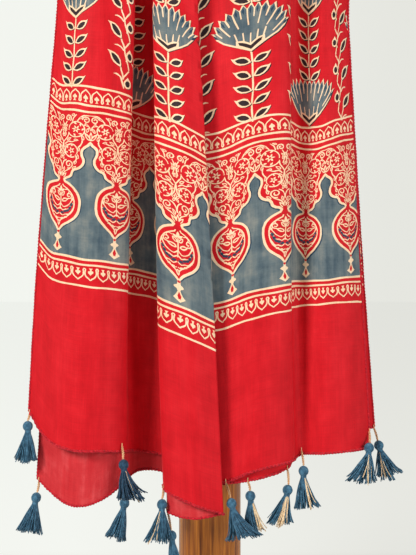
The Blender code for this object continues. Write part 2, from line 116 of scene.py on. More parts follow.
WRAP_PATH = (
    (-97, -52, 960, 1.00, 0.00, 0.00),
    (-98, -50, 1010, 0.99, 0.02, 0.12),
    (-99, -40, 1058, 0.98, 0.02, 0.19),
    (-99, 0, 1080, 0.978, 0.00, 0.208),
    (-92, 40, 1066, 0.90, -0.30, 0.32),
    (-58, 76, 1050, 0.55, -0.60, 0.58),
    (0, 92, 1045, 0.00, -0.62, 0.78),
)
TASSEL_COLUMNS = (
    "end", "layer", "across", "raised", "tie", "tie_left", "tie_forward", "left", "forward", "spread",
)
TASSELS = (
    ("left", "front", 1, 0, 8, 12, 20, -2, 2, 0.50),
    ("left", "front", 104, 5, 13, -8, 30, -6, 10, 0.85),
    ("left", "front", 222, 0, 10, 6, 14, 1, 8, 0.75),
    ("left", "back", 2, 0, 12, 8, 4, 10, 4, 0.85),
    ("left", "back", 112, 0, 14, -16, 10, 11, 2, 0.50),
    ("left", "back", 219, 0, 20, -12, 10, -6, 4, 0.50),
    ("right", "front", 3, 17, 13, 8, 42, 7, 10, 0.90),
    ("right", "front", 95, 4, 16, -6, 34, 2, 12, 0.70),
    ("right", "front", 202, 0, 16, -18, 18, -12, 10, 0.90),
    ("right", "back", 1, 0, 15, -18, -4, -14, 0, 0.80),
    ("right", "back", 134, 0, 16, -4, 4, 9, 0, 0.80),
    ("right", "back", 178, 0, 10, -14, -6, -4, -6, 0.50),
)

# The flat pattern, in millimetres
WIDE = 560.0
HALF = 1050.0  # from a hem to the middle of the neck
MEASURED = 900.0  # up to here the pattern keeps its true length from the hem
REPEAT = WIDE / 10.5  # of the arches
AXIS = REPEAT / 2  # the first pendant's distance from the front selvedge
BAND_FOOT = {"left": 165.0, "right": 155.0}  # from the hem to the printed band
# The field's columns: the first stalk, which the leaves of the vines beside it face, and the step to the next
FIELD_COLUMNS = {"left": (34.0, 103.0), "right": (-27.5, 98.0)}
# How far a vine's stem stands from the stalk that its leaves face, and how far above the band it starts
VINE_PLACE = {"left": (56.0, 17.0), "right": (49.0, 1.0)}
STALK_PERIOD = 118.0
STAGGER = 50.0  # how much higher every second stalk starts
FIELD_START = 205.0
FIELD_END = 1036.0
# Where the band's blocks stand on the cloth, by their even places
SPREAD_COLUMNS = ("even", "printed")
BAND_SPREAD = {
    "left": (
        (0, -1), (26.7, 27), (53.3, 58.5), (80, 88.5), (133.3, 136), (160, 161), (186.6, 190), (240, 244),
        (266.6, 272), (293, 297), (560, 560),
    ),
    "right": (
        (0, -12), (26.7, 18), (53.3, 49.5), (80, 77.5), (133.3, 139.5), (160, 168), (186.6, 190.5),
        (240, 247),
        (293, 299), (560, 560),
    ),
}
# How far the print has sunk at the band's foot and at its top, by distance across
SINK_COLUMNS = ("across", "foot", "top")
PRINT_SINK = {
    "left": (
        (0, 12, 22), (15, 7, 14), (30, 2, 6), (45, 0, 2), (84, 0, 3), (110, 0, 6), (140, 0, 11),
        (180, 0, 9),
        (205, 0, -2), (225, 0, -9), (250, 0, -10), (280, 0, -10), (300, 0, -6), (340, 0, 0), (560, 0, 0),
    ),
    "right": (
        (0, 0, 3), (30, 0, 11), (60, 0, 19), (85, 0, 15), (100, 0, 8), (130, 0, 4), (200, 0, 3),
        (300, 0, 0),
        (560, 0, 0),
    ),
}
SHADOW = {"left": (0.5, -0.5), "right": (-0.9, -0.9)}  # how far the dark blocks print off register

# The last number is no ink but painted light: a paler red where light would shine through the left end's lone
# back layer.
RED, CREAM, INDIGO, NAVY, DARK, PAINTED_BACKLIGHT = range(6)


def table(rows, columns):
    """A table's columns by name, as arrays."""
    return {name: np.array([row[i] for row in rows]) for i, name in enumerate(columns)}


def through(nodes, values, at):
    """Smooth curve through values at increasing nodes, read at the places in at."""
    nodes = np.asarray(nodes, float)
    values = np.asarray(values, float)
    at = np.asarray(at, float)
    slopes = np.gradient(values, nodes, axis=0)
    k = np.clip(np.searchsorted(nodes, at, side="right") - 1, 0, len(nodes) - 2)
    width = nodes[k + 1] - nodes[k]
    t = np.clip((at - nodes[k]) / width, 0, 1)
    over = at - np.clip(at, nodes[0], nodes[-1])
    extra = (1,) * (values.ndim - 1)
    t, width, over = (v.reshape(v.shape + extra) for v in (t, width, over))
    low, high = slopes[k] * width, slopes[k + 1] * width
    curve = (
        (2 * t**3 - 3 * t**2 + 1) * values[k]
        + (t**3 - 2 * t**2 + t) * low
        + (3 * t**2 - 2 * t**3) * values[k + 1]
        + (t**3 - t**2) * high
    )
    return curve + over * slopes[np.where(at < nodes[0], 0, np.where(at > nodes[-1], len(nodes) - 1, k))]


def smooth(t):
    t = np.clip(t, 0, 1)
    return t * t * (3 - 2 * t)


ACROSS = np.linspace(0, BAND, 113)


def pleat_heading(first):
    return PLEAT_SWING * np.sin(2 * math.pi * (ACROSS - first) / PLEAT_PITCH)


def drawn(heading, stretch):
    """The curve with this heading at each point across, centred."""
    step = ACROSS[1] - ACROSS[0]
    rise = np.stack([np.cos(heading), np.sin(heading)], axis=1) * stretch[:, None]
    middle = (rise[1:] + rise[:-1]) / 2 * step
    line = np.concatenate([[[0, 0]], np.cumsum(middle, axis=0)])
    return line - line.mean(axis=0)


def hanging_section(folds, side, level):
    """An end's section at a height, as inward and outward distances for each point across."""
    column = table(folds, FOLD_COLUMNS)
    levels = [HEM_LEVEL, BORDER_LEVEL, UPPER_LEVEL]
    x = np.stack([column["hem_x"], column["border_x"], column["upper_x"]]) / 1000
    y = np.stack([column["hem_y"], column["border_y"], column["upper_y"]]) / 1000
    rows = np.stack([-side * x, -y], axis=2)
    at = through(levels, rows, [level])[0]
    return through(column["across"] / 1000, at, ACROSS)


def gathered_section(folds, side, share):
    """A section between the upper level, share 0, and the gathers at the yoke, share 1, centred."""
    first = LEFT_PLEAT if side < 0 else RIGHT_PLEAT
    loose = hanging_section(folds, side, UPPER_LEVEL)
    rise = np.gradient(loose, ACROSS, axis=0)
    heading = np.unwrap(np.arctan2(rise[:, 1], rise[:, 0]))
    stretch = np.linalg.norm(rise, axis=1)
    gathered = pleat_heading(first)
    found = drawn(heading * (1 - share) + gathered * share, stretch * (1 - share) + share)
    breadths = [np.ptp(line[:, 0]) for line in (loose, drawn(gathered, np.ones_like(ACROSS)), found)]
    narrower = (breadths[0] * (1 - share) + breadths[1] * share) / breadths[2]
    return found * np.array([narrower, narrower**-0.5])


def end_sections(folds, side):
    """Sections of one end from below the hem up to the yoke. side is -1 on the left and 1 on the right."""
    found = []
    for level in np.linspace(PATH_FOOT, UPPER_LEVEL, HANG_SECTIONS):
        inward, outward = hanging_section(folds, side, level).T
        found.append(np.stack([-side * inward, -outward, np.full_like(inward, level)], axis=1))
    start = found[-1].mean(axis=0)
    x, y, z = WRAP_PATH[0][:3]
    goal = np.array([-side * x, y, z]) / 1000
    for i in range(GATHER_SECTIONS):
        share = (i + 1) / (GATHER_SECTIONS + 1)
        inward, outward = gathered_section(folds, side, float(smooth(share))).T
        centre = start + (goal - start) * np.array([smooth(share), smooth(share), share])
        centre[1] -= GATHER_FORWARD * math.sin(math.pi * share)
        found.append(centre + np.stack([-side * inward, -outward, 0 * inward], axis=1))
    return found


def wrap_sections():
    """Sections round the neck, from the left yoke over the back to the right yoke."""
    column = table(WRAP_PATH, WRAP_COLUMNS)
    centre = np.stack([column["x"], column["y"], column["z"]], axis=1) / 1000
    toward = np.stack([column["toward_x"], column["toward_y"], column["toward_z"]], axis=1)
    mirror = np.array([-1, 1, 1])
    centre = np.concatenate([centre, centre[-2::-1] * mirror])
    toward = np.concatenate([toward, toward[-2::-1] * mirror])
    count = len(centre)
    at = np.linspace(0, count - 1, 2 * count - 1)
    centre, toward = through(range(count), centre, at), through(range(count), toward, at)
    settled = np.sin(2 * math.pi * np.linspace(0, 1, len(centre))).clip(0)
    centre[:, 2] -= LEFT_SETTLE * settled
    ahead = np.gradient(centre, axis=0)
    found = []
    for i, (c, w, t) in enumerate(zip(centre, toward, ahead)):
        first = LEFT_PLEAT + (RIGHT_PLEAT - LEFT_PLEAT) * smooth(i / (len(centre) - 1))
        inward, outward = drawn(pleat_heading(first), np.ones_like(ACROSS)).T
        w = w - t * (w @ t) / (t @ t)
        w /= np.linalg.norm(w)
        n = np.cross(w, t)
        n /= np.linalg.norm(n)
        found.append(c + inward[:, None] * w + outward[:, None] * n)
    return found


class Stole:
    """The stole's shape: its front layer's sections, in the order left hem, neck, right hem."""

    def __init__(self):
        left = end_sections(LEFT_FOLDS, -1)
        right = end_sections(RIGHT_FOLDS, 1)
        sections = np.array(left + wrap_sections() + right[::-1])
        self.last = len(sections) - 1
        self.places = np.linspace(0, self.last, self.last * BETWEEN + 1)
        self.points = through(range(self.last + 1), sections, self.places)
        across = np.gradient(self.points, axis=1)
        normal = np.cross(across, np.gradient(self.points, axis=0))
        self.normals = normal / np.linalg.norm(normal, axis=2, keepdims=True)
        self.inwards = across / np.linalg.norm(across, axis=2, keepdims=True)
        self.hems = table(HEM_HEIGHTS, HEM_COLUMNS)
        self.folds = {"left": table(LEFT_FOLDS, FOLD_COLUMNS), "right": table(RIGHT_FOLDS, FOLD_COLUMNS)}

    def read(self, across, place):
        """Points, normals and inward directions of the front layer, by distances across and places."""
        column = np.clip(across / BAND * (len(ACROSS) - 1), 0, len(ACROSS) - 1.001)
        row = np.clip(place * BETWEEN, 0, len(self.places) - 1.001)
        i, j = row.astype(int), column.astype(int)
        a, b = (row - i)[..., None], (column - j)[..., None]
        found = []
        for grid in (self.points, self.normals, self.inwards):
            low = (1 - b) * grid[i, j] + b * grid[i, j + 1]
            high = (1 - b) * grid[i + 1, j] + b * grid[i + 1, j + 1]
            found.append((1 - a) * low + a * high)
        return found

    def hem(self, end, layer, across):
        """The hem's place among the sections."""
        height = through(self.hems["across"], self.hems[f"{end}_{layer}"], across * 1000) / 1000
        from_foot = (height - PATH_FOOT) / (UPPER_LEVEL - PATH_FOOT) * (HANG_SECTIONS - 1)
        return from_foot if end == "left" else self.last - from_foot

    def hanging(self, name, across, place):
        """A fold table's column, from the table of the end that each place is on."""
        found = [through(self.folds[e]["across"], self.folds[e][name], across * 1000) for e in self.folds]
        return np.where(place < self.last / 2, found[0], found[1])

    def gap(self, across, place):
        """Distance between the layers, which closes up towards the yoke."""
        from_end = np.minimum(place, self.last - place)
        start, end = (share * HANG_SECTIONS for share in CLOSING)
        closed = smooth((from_end - start) / (end - start))
        return LAYER_GAP + (self.hanging("gap", across, place) / 1000 - LAYER_GAP) * (1 - closed)

    def slip(self, across, place):
        """How far the back layer has slipped outward, least where the cloth is gathered."""
        from_end = np.minimum(place, self.last - place)
        kept = 1 - (1 - SLIP_KEPT) * smooth(from_end / HANG_SECTIONS)
        free = 1 - smooth((from_end - HANG_SECTIONS) / GATHER_SECTIONS)
        return self.hanging("slip", across, place) / 1000 * kept * free

    def layer(self, width):
        """Whether a distance from the front selvedge is on the front layer, and its distance across."""
        turn = LAYER_GAP / 2
        quarter = turn * math.pi / 2
        from_fold = np.abs(width - BAND)
        curved = BAND - turn + turn * np.cos(np.minimum(from_fold, quarter) / turn)
        across = np.where(from_fold < quarter, curved, BAND - turn - (from_fold - quarter))
        return width <= BAND, across

    def place(self, width, place):
        """The cloth's points at distances from its front selvedge and places among the sections."""
        width, place = np.broadcast_arrays(np.asarray(width, float), np.asarray(place, float))
        turn = LAYER_GAP / 2
        front, across = self.layer(width)
        from_fold = np.abs(width - BAND)
        point, normal, inward = self.read(across, place)
        angle = np.minimum(from_fold / turn, math.pi / 2)
        turned = point + normal * (turn * (np.where(front, 1, -1) * np.sin(angle) - 1))[..., None]
        gap, slip = self.gap(across, place), self.slip(across, place)
        behind = point - normal * gap[..., None] - inward * slip[..., None]
        flat = np.where(front[..., None], point, behind)
        return np.where((from_fold < turn * math.pi / 2)[..., None], turned, flat)

    def hem_place(self, end, width):
        front, across = self.layer(np.asarray(width, float))
        return np.where(front, self.hem(end, "front", across), self.hem(end, "back", across))

    def hem_point(self, end, width):
        """The point of the hem at this distance from the front selvedge."""
        return self.place(width, self.hem_place(end, width))

    def front_point(self, end, width, above, clear):
        """A point in front of the cloth, this far above the front layer's hem and clear of its face."""
        hem = self.hem(end, "front", width)
        step = above / (UPPER_LEVEL - PATH_FOOT) * (HANG_SECTIONS - 1)
        place = hem + step if end == "left" else hem - step
        point, normal, _ = self.read(np.asarray(width), np.asarray(place))
        return point + normal * clear


# Sharp creases of each end: from and to, across and up from the hem, then their height and breadth, all in mm
CREASES = {
    "left": (
        (234, 50, 260, 110, 0.70, 2.2), (6, 18, 17, 78, 0.55, 2.4), (4, 66, 13, 124, 0.45, 2.2),
        (9, 128, 20, 92, -0.50, 2.4), (13, 30, 24, 62, -0.45, 2.6), (3, 130, 8, 178, 0.45, 2.2),
    ),
    "right": (
        (150, 22, 206, 30, 0.45, 2.4), (120, 30, 150, 24, -0.40, 2.4), (196, 10, 232, 26, 0.45, 2.6),
        (60, 16, 108, 22, 0.35, 2.6),
    ),
}


CREASE_END = 9.0  # mm over which a crease fades out at each end


class Half:
    """One half of the stole as a fine grid of points, by distance from the front selvedge and from its hem,
    both in millimetres on the flat cloth."""

    LENGTHS = 281
    PLACES = 420

    def __init__(self, cloth, end):
        self.end = end
        near_fold = np.linspace(-3.2, 3.2, 17) + WIDE / 2
        coarse = np.linspace(0, WIDE, 281)
        away = coarse[np.abs(coarse - WIDE / 2) > 3.4]
        self.across = np.sort(np.concatenate([away, near_fold]))
        self.along = np.linspace(0, HALF, self.LENGTHS)
        columns = []
        for width in self.across / 1000:
            places = np.linspace(cloth.hem_place(end, width), cloth.last / 2, self.PLACES)
            line = cloth.place(width, places)
            run = np.concatenate([[0], np.cumsum(np.linalg.norm(np.diff(line, axis=0), axis=1))]) * 1000
            rest = (run[-1] - MEASURED) / (HALF - MEASURED)
            wanted = np.where(self.along < MEASURED, self.along, MEASURED + (self.along - MEASURED) * rest)
            columns.append(cloth.place(width, np.interp(wanted, run, places)))
        self.points = np.array(columns)
        self.normals = self.facing()
        self.points += self.normals * self.creases()[..., None]
        self.normals = self.facing()

    def facing(self):
        """Normals of the grid, out of the printed face."""
        step_across = np.gradient(self.points, self.across, axis=0)
        step_along = np.gradient(self.points, self.along, axis=1)
        normal = np.cross(step_across, step_along) * (1 if self.end == "left" else -1)
        return normal / np.linalg.norm(normal, axis=2, keepdims=True)

    def creases(self):
        """Fine creases and the hem's puckers, in metres out of the cloth."""
        u, v = np.meshgrid(self.across, self.along, indexing="ij")
        seed = 0.0 if self.end == "left" else 2.4
        soft = 0.30 * np.sin(u / 17 + 1.7 * np.sin(v / 140 + seed)) * np.sin(v / 190 + seed + u / 90)
        slack = 0.16 * np.sin(u / 7.1 + v / 60 + seed) * np.sin(v / 83 + 2 * seed)
        hem = 0.35 * np.exp(-v / 5.0) * np.sin(u / 1.9 + 1.3 * np.sin(u / 11 + seed))
        free = smooth((np.abs(u - WIDE / 2) - 4) / 20)
        found = (soft + slack + hem) * free
        for low_u, low_v, high_u, high_v, height, breadth in CREASES[self.end]:
            run, rise = high_u - low_u, high_v - low_v
            length = math.hypot(run, rise)
            along = ((u - low_u) * run + (v - low_v) * rise) / length
            aside = ((v - low_v) * run - (u - low_u) * rise) / length
            ends = smooth(along / CREASE_END) * smooth((length - along) / CREASE_END)
            found += height * np.exp(-(aside / breadth) ** 2) * ends
        return found / 1000

    def read(self, across, along):
        """Points and normals at distances across and along, in millimetres."""
        column = np.interp(across, self.across, np.arange(len(self.across)))
        column = np.clip(column, 0, len(self.across) - 1.001)
        row = np.clip(np.asarray(along) / HALF * (self.LENGTHS - 1), 0, self.LENGTHS - 1.001)
        i, j = column.astype(int), row.astype(int)
        a, b = (column - i)[..., None], (row - j)[..., None]
        found = []
        for grid in (self.points, self.normals):
            low = (1 - b) * grid[i, j] + b * grid[i, j + 1]
            high = (1 - b) * grid[i + 1, j] + b * grid[i + 1, j + 1]
            found.append((1 - a) * low + a * high)
        return found


class Print:
    """Inked shapes on the flat cloth, in millimetres; a later shape lies over an earlier one."""

    CHUNK = 10  # points in one piece of a line

    def __init__(self):
        self.shapes = []

    def fill(self, ink, points):
        """A closed shape, turned anticlockwise."""
        points = np.asarray(points, float)
        x, y = points.T
        if np.sum(x * np.roll(y, -1) - y * np.roll(x, -1)) < 0:
            points = points[::-1]
        self.shapes.append((ink, points))

    def line(self, ink, points, width, ends=(1.0, 1.0)):
        """A line of this width, narrowed at its ends to these shares of it."""
        points = np.asarray(points, float)
        ahead = np.gradient(points, axis=0)
        ahead /= np.maximum(np.linalg.norm(ahead, axis=1, keepdims=True), 1e-9)
        share = np.linspace(0, 1, len(points))
        narrow = np.interp(share, [0, 0.25, 0.75, 1], [ends[0], 1, 1, ends[1]])
        beside = np.stack([-ahead[:, 1], ahead[:, 0]], axis=1) * (width / 2 * narrow)[:, None]
        left, right = points + beside, points - beside
        for start in range(0, len(points) - 1, self.CHUNK - 1):
            part = slice(start, start + self.CHUNK)
            self.fill(ink, np.concatenate([left[part], right[part][::-1]]))


def curve(*points, count=14):
    """A smooth curve through these points."""
    points = np.array(points, float)
    length = np.concatenate([[0], np.cumsum(np.linalg.norm(np.diff(points, axis=0), axis=1))])
    return through(length, points, np.linspace(0, length[-1], count))


def mirrored(points):
    return np.asarray(points, float) * np.array([-1, 1])


def placed(points, x, y, turn=0.0, scale=1.0):
    """Points turned by degrees, scaled and moved."""
    c, s = math.cos(math.radians(turn)), math.sin(math.radians(turn))
    return np.asarray(points, float) @ np.array([[c, s], [-s, c]]) * scale + np.array([x, y])


def spiral(x, y, radius, start, turns, count=22, inner=0.3):
    """A spiral from its outside in, from this direction in degrees."""
    angle = np.radians(start) + np.linspace(0, turns * 2 * math.pi, count)
    reach = radius * np.linspace(1, inner, count)
    return np.stack([x + reach * np.cos(angle), y + reach * np.sin(angle)], axis=1)


def ring(x, y, radius, count=18, squash=1.0):
    angle = np.linspace(0, 2 * math.pi, count, endpoint=False)
    return np.stack([x + radius * np.cos(angle), y + radius * squash * np.sin(angle)], axis=1)


def star(x, y, radius, petals=5, turn=90.0, inner=0.45):
    """A small flower's outline."""
    angle = np.radians(turn) + np.linspace(0, 2 * math.pi, petals * 4, endpoint=False)
    reach = radius * (inner + (1 - inner) * (0.5 + 0.5 * np.cos(petals * (angle - np.radians(turn)))))
    return np.stack([x + reach * np.cos(angle), y + reach * np.sin(angle)], axis=1)


def drop(length, width, lean=0.0, count=9):
    """A leaf from its root at the origin up to its tip, which leans sideways."""
    t = np.linspace(0, 1, count)
    half = width / 2 * np.sin(math.pi * t**0.8) ** 0.85
    side = lean * t**2
    left = np.stack([side - half, t * length], axis=1)
    right = np.stack([side + half, t * length], axis=1)
    return np.concatenate([left, right[-2:0:-1]])


# A leaf of the field's stalks and vines: its outline and its dark centre, from the root along +x
LEAF = ((0, 0), (2.6, 2.0), (6.2, 3.9), (10.2, 4.0), (13.6, 2.9), (16.2, 2.0), (18.6, 2.4), (15.9, -0.1),
        (12.6, -2.6), (8.6, -3.9), (4.6, -3.4), (1.6, -1.6))
LEAF_CENTRE = ((2.0, -0.2), (4.2, 1.5), (7.4, 2.5), (10.6, 2.4), (13.0, 1.5), (14.4, 0.6), (11.8, -1.3),
               (8.4, -2.4), (5.0, -2.2), (2.8, -1.2))
LEAF_ANGLE = 26.0
LEAF_PAIRS = 5
LEAF_STEP = 14.2
FLOWER_FOOT = 69.0
# Edge of the fan flower from its foot to its corner, and the tops of its petals from there to the middle
FAN_EDGE = ((0, 0), (8, 5.2), (16, 10.6), (23.5, 16.6), (30, 23.6), (34.5, 31.0))
FAN_TIPS = ((36.5, 32.5), (33.0, 39.5), (28.0, 44.0), (21.5, 47.5), (14.5, 49.5), (7.3, 50.3), (0, 50.5))
FAN_NOTCH = 6.5  # how deep the notches between petals go
FAN_LONG, FAN_SHORT = 17.0, 9.0  # lines down from the notches
PETAL_SHADE = ((3.2, 0), (8.5, 1.5), (12.0, 0), (8.0, -0.6))  # a petal's dark flame: down from its tip, aside
CALYX = ((0, 2.6), (9.6, 9.4), (10.8, 12.6), (7.0, 11.2), (3.6, 9.2), (0, 6.6))


def leaf(prints, x, y, angle, flip, shadow, size=1.0):
    """One leaf with its dark centre."""
    turn = np.array([1, flip]) * size
    outline = placed(np.array(LEAF) * turn, x, y, angle)
    prints.fill(DARK, outline + np.array(shadow))
    prints.fill(CREAM, outline)
    prints.fill(DARK, placed(np.array(LEAF_CENTRE) * turn, x, y, angle))


def fan_flower(prints, x, y, shadow):
    """The indigo fan flower over its dark calyx."""
    tips = np.array(FAN_TIPS)
    tips = np.concatenate([tips, mirrored(tips[-2::-1])])
    foot = np.array([0, -4.0])
    notches = (tips[1:] + tips[:-1]) / 2
    inward = foot - notches
    inward /= np.linalg.norm(inward, axis=1, keepdims=True)
    deep = notches + inward * FAN_NOTCH
    zigzag = np.empty((len(tips) + len(notches), 2))
    zigzag[0::2], zigzag[1::2] = tips, deep
    edge = np.array(FAN_EDGE)
    outline = np.concatenate([edge, zigzag, mirrored(edge[:0:-1])]) + np.array([x, y])
    middle = np.array([x, y + 26])
    prints.fill(DARK, outline + np.array(shadow))
    prints.fill(CREAM, outline)
    shrunk = []
    for i, point in enumerate(outline):
        before, after = outline[i - 1], outline[(i + 1) % len(outline)]
        ahead = (after - before) / max(np.linalg.norm(after - before), 1e-6)
        inside = np.array([-ahead[1], ahead[0]])
        is_notch = len(edge) <= i < len(edge) + len(zigzag) and (i - len(edge)) % 2 == 1
        reach = 1.3 if is_notch else 1.5
        toward = middle - point
        toward /= np.linalg.norm(toward)
        bend = 2.6 if len(edge) <= i < len(edge) + len(zigzag) and not is_notch else reach
        shrunk.append(point + (inside * reach if not bend > reach else toward * bend))
    prints.fill(INDIGO, shrunk)
    for i in range(len(tips)):
        top = tips[i] + np.array([x, y])
        axis = (foot - tips[i]) / np.linalg.norm(foot - tips[i])
        side = np.array([-axis[1], axis[0]])
        shade = [top + axis * down + side * aside for down, aside in PETAL_SHADE]
        prints.fill(NAVY, shade)
    for i, (notch, ahead) in enumerate(zip(deep, inward)):
        length = FAN_LONG if i % 2 else FAN_SHORT
        start = notch + np.array([x, y])
        prints.line(CREAM, [start - ahead * 0.8, start + ahead * length * 0.5, start + ahead * length], 1.3,
                    (1.0, 0.8))
    for angle in (-34, -17, 0, 17, 34):
        ahead = np.array([math.sin(math.radians(angle * 0.45)), math.cos(math.radians(angle * 0.45))])
        root = np.array([x + angle * 0.33, y + 8.2 + abs(angle) * 0.13])
        prints.line(CREAM, [root, root + ahead * 5.5, root + ahead * 10.5], 1.3, (1.0, 0.8))
    calyx = np.array(CALYX)
    calyx = np.concatenate([calyx, mirrored(calyx[-2:0:-1])])
    prints.fill(CREAM, np.array([(0, 0), (12.5, 9), (13.0, 14.5), (6.6, 13.2), (0, 8.8), (-6.6, 13.2),
                                 (-13.0, 14.5), (-12.5, 9)]) + np.array([x, y]))
    prints.fill(DARK, calyx + np.array([x, y]))


def stalk(prints, x, y, shadow):
    """A leafy stalk with its fan flower."""
    prints.line(CREAM, curve((x, y - 2), (x + 0.5, y + 22), (x - 0.4, y + 46), (x, y + FLOWER_FOOT + 1)), 1.6)
    for i in range(LEAF_PAIRS):
        root = y + 1.5 + i * LEAF_STEP
        size = LEAF_ANGLE - 2.0 + 2.0 * (i % 2)
        leaf(prints, x + 0.8, root, size, 1, shadow)
        leaf(prints, x - 0.8, root, 180 - size, -1, shadow)
    fan_flower(prints, x, y + FLOWER_FOOT, shadow)


def bud(prints, x, y, shadow):
    """A round bud with its dark centre and a small tip."""
    outline = ring(x, y, 4.3, 14, 1.16)
    outline[4] += np.array([0.4, 2.2])
    prints.fill(DARK, outline + np.array(shadow))
    prints.fill(CREAM, outline)
    prints.fill(DARK, ring(x, y, 2.7, 12, 1.22))


def vine(prints, x, y, toward, shadow, first):
    """One period of a vine, with its leaves on the side toward and its buds on the other."""
    steps = 4
    rise = STALK_PERIOD / steps
    side = np.array([toward, 1])
    for k in range(steps):
        origin = np.array([x, y + k * rise])

        def local(*points):
            return [origin + np.array(p) * side for p in points]

        if first and k == 0:
            bud(prints, *(origin + np.array([-7.4, -6.0]) * side), shadow)
            foot = local((-3.6, -12.0), (-1.6, -5.0), (0.6, 0.4))
            prints.line(CREAM, curve(*foot, count=7), 1.6, (0.3, 1.0))
        tendril = local((-1.6, -2.6), (1.4, 0.6), (4.6, 1.8), (8.2, 1.4))
        leaf_stem = local((-2.4, -2.0), (-1.2, 3.0), (0.8, 7.4), (1.6, 10.6))
        lower_stem = local((-1.8, -1.0), (-4.2, 3.0), (-7.4, 7.8))
        upper_stem = local((-7.4, 8.4), (-6.4, 13.0), (-4.4, 18.6), (-3.2, 23.0), (-2.2, rise - 1.6))
        prints.line(CREAM, curve(*tendril, count=8), 1.5, (1.0, 0.3))
        prints.line(CREAM, curve(*leaf_stem, count=8), 1.4)
        prints.line(CREAM, curve(*lower_stem, count=7), 1.4)
        prints.line(CREAM, curve(*upper_stem, count=11), 1.4)
        angle = 50 if toward > 0 else 130
        leaf(prints, x + toward * 1.2, y + k * rise + 9.6, angle, -toward, shadow, 1.15)
        bud(prints, *(origin + np.array([-8.2, 22.4]) * side), shadow)
        prints.line(CREAM, local((-3.8, 16.4), (-5.2, 18.2), (-6.6, 19.6)), 1.3)


def field(prints, end, base):
    """The alternating stalks and vines above the printed band; every second stalk starts higher, over a
    flower of its own."""
    shadow = SHADOW[end]
    x, step = FIELD_COLUMNS[end]
    index = 0
    while x < WIDE + step:
        y = base + FIELD_START
        if index % 2:
            fan_flower(prints, x, y + 2.0, shadow)
            y += STAGGER
        while y + FLOWER_FOOT + 51 < FIELD_END:
            stalk(prints, x, y, shadow)
            y += STALK_PERIOD
        if index % 2 == 0:
            for toward in (-1, 1):
                reach, start = VINE_PLACE[end]
                y = base + FIELD_START + start
                first = end == "left"
                while y + STALK_PERIOD < FIELD_END + 20:
                    vine(prints, x - toward * reach, y, toward, shadow, first)
                    y += STALK_PERIOD
                    first = False
        x += step
        index += 1


CHAIN_ARCH = ((-5.3, 0.8), (-4.4, 2.0), (-4.7, 4.6), (-4.6, 7.6), (-3.2, 10.2), (-1.4, 11.6), (0, 13.2))
CHAIN_SPADE = ((0, 9.0), (1.0, 7.6), (2.2, 6.4), (2.5, 5.0), (1.6, 4.2), (0.7, 4.6), (0.8, 2.4), (1.7, 1.2))


def chain(prints, foot, flip):
    """A row of small keel arches, each round a spade on its stem."""
    pitch = REPEAT / 5
    turn = np.array([1, flip])
    arch = curve(*CHAIN_ARCH, count=9)
    spade = np.array(CHAIN_SPADE)
    spade = np.concatenate([spade, mirrored(spade[:0:-1])])
    for k in range(int(WIDE / pitch) + 1):
        here = np.array([(k + 0.5) * pitch, foot])
        prints.line(CREAM, arch * turn + here, 1.15)
        prints.line(CREAM, mirrored(arch) * turn + here, 1.15)
        prints.fill(CREAM, spade * turn * 0.92 + here)


def rule(prints, height, width):
    """A plain cream line right across the cloth."""
    x = np.linspace(-2, WIDE + 2, 189)
    prints.line(CREAM, np.stack([x, np.full_like(x, height)], axis=1), width)


# The arch's edge from a pendant's neck up to the peak of the keyhole midway to the next, from the arch's axis
ARCH_EDGE = ((24.2, 104.2), (23.8, 107.0), (21.6, 109.4), (17.9, 111.0), (15.6, 113.2), (14.8, 116.2),
             (13.2, 118.5),
             (10.4, 119.9), (7.9, 121.7), (5.9, 124.6), (4.9, 128.0), (5.2, 131.0), (6.5, 134.0),
             (7.1, 137.4),
             (6.5, 140.7), (4.6, 143.4), (2.2, 145.6), (0, 148.8))
ONION = ((0, 54.0), (1.5, 57.0), (4.6, 60.4), (9.4, 64.4), (14.0, 69.6), (17.4, 76.0), (18.6, 82.8),
         (18.2, 89.4),
         (16.0, 95.4), (12.0, 100.2), (7.0, 103.2), (3.2, 105.0), (2.2, 107.0))
RIM_SHARE = 0.79  # size of the pendant's inner rim in its outline


def beside(points, distance):
    """A line moved sideways, to the left of its own direction."""
    points = np.asarray(points, float)
    ahead = np.gradient(points, axis=0)
    ahead /= np.maximum(np.linalg.norm(ahead, axis=1, keepdims=True), 1e-9)
    return points + np.stack([-ahead[:, 1], ahead[:, 0]], axis=1) * distance


def onion_outline(grow):
    """The pendant's outline, grown or shrunk, from its neck down to the tip and up again."""
    side = curve(*ONION, count=26)
    return beside(np.concatenate([mirrored(side[::-1]), side[1:]]), -grow)


def pendant(prints, x, base, shadow):
    """A hanging onion-shaped pendant with its filling and its finial."""
    here = np.array([x, base])

    def at(points):
        return np.asarray(points, float) + here

    prints.fill(NAVY, at(onion_outline(2.3)) + np.array(shadow) * 1.4)
    prints.fill(CREAM, at(onion_outline(2.2)))
    prints.fill(CREAM, at([(-4.2, 103), (4.2, 103), (4.0, 108), (-4.0, 108)]))
    prints.fill(RED, at(onion_outline(0.0)))
    prints.fill(RED, at([(-2.0, 102), (2.0, 102), (2.2, 111), (-2.2, 111)]))
    middle = np.array([0, 84.0])
    prints.line(CREAM, at((onion_outline(0.0) - middle) * RIM_SHARE + middle), 1.1)
    pendant_filling(prints, at)
    finial(prints, at)


# The pendant's garland: its upper and lower edge and the blue leaves between them, from the pendant's axis
GARLAND_HIGH = ((0.4, 77.6), (3.2, 75.4), (6.0, 77.0), (8.6, 77.2), (10.8, 80.4), (13.6, 84.6))
GARLAND_LOW = ((0.4, 71.8), (3.4, 69.6), (6.2, 71.2), (8.8, 71.4), (11.4, 74.6), (14.2, 79.4))
GARLAND_LEAVES = ((2.6, 74.4, -112), (5.6, 74.8, -72), (8.6, 75.4, -50), (11.0, 78.2, -38), (13.0, 81.8, -26))


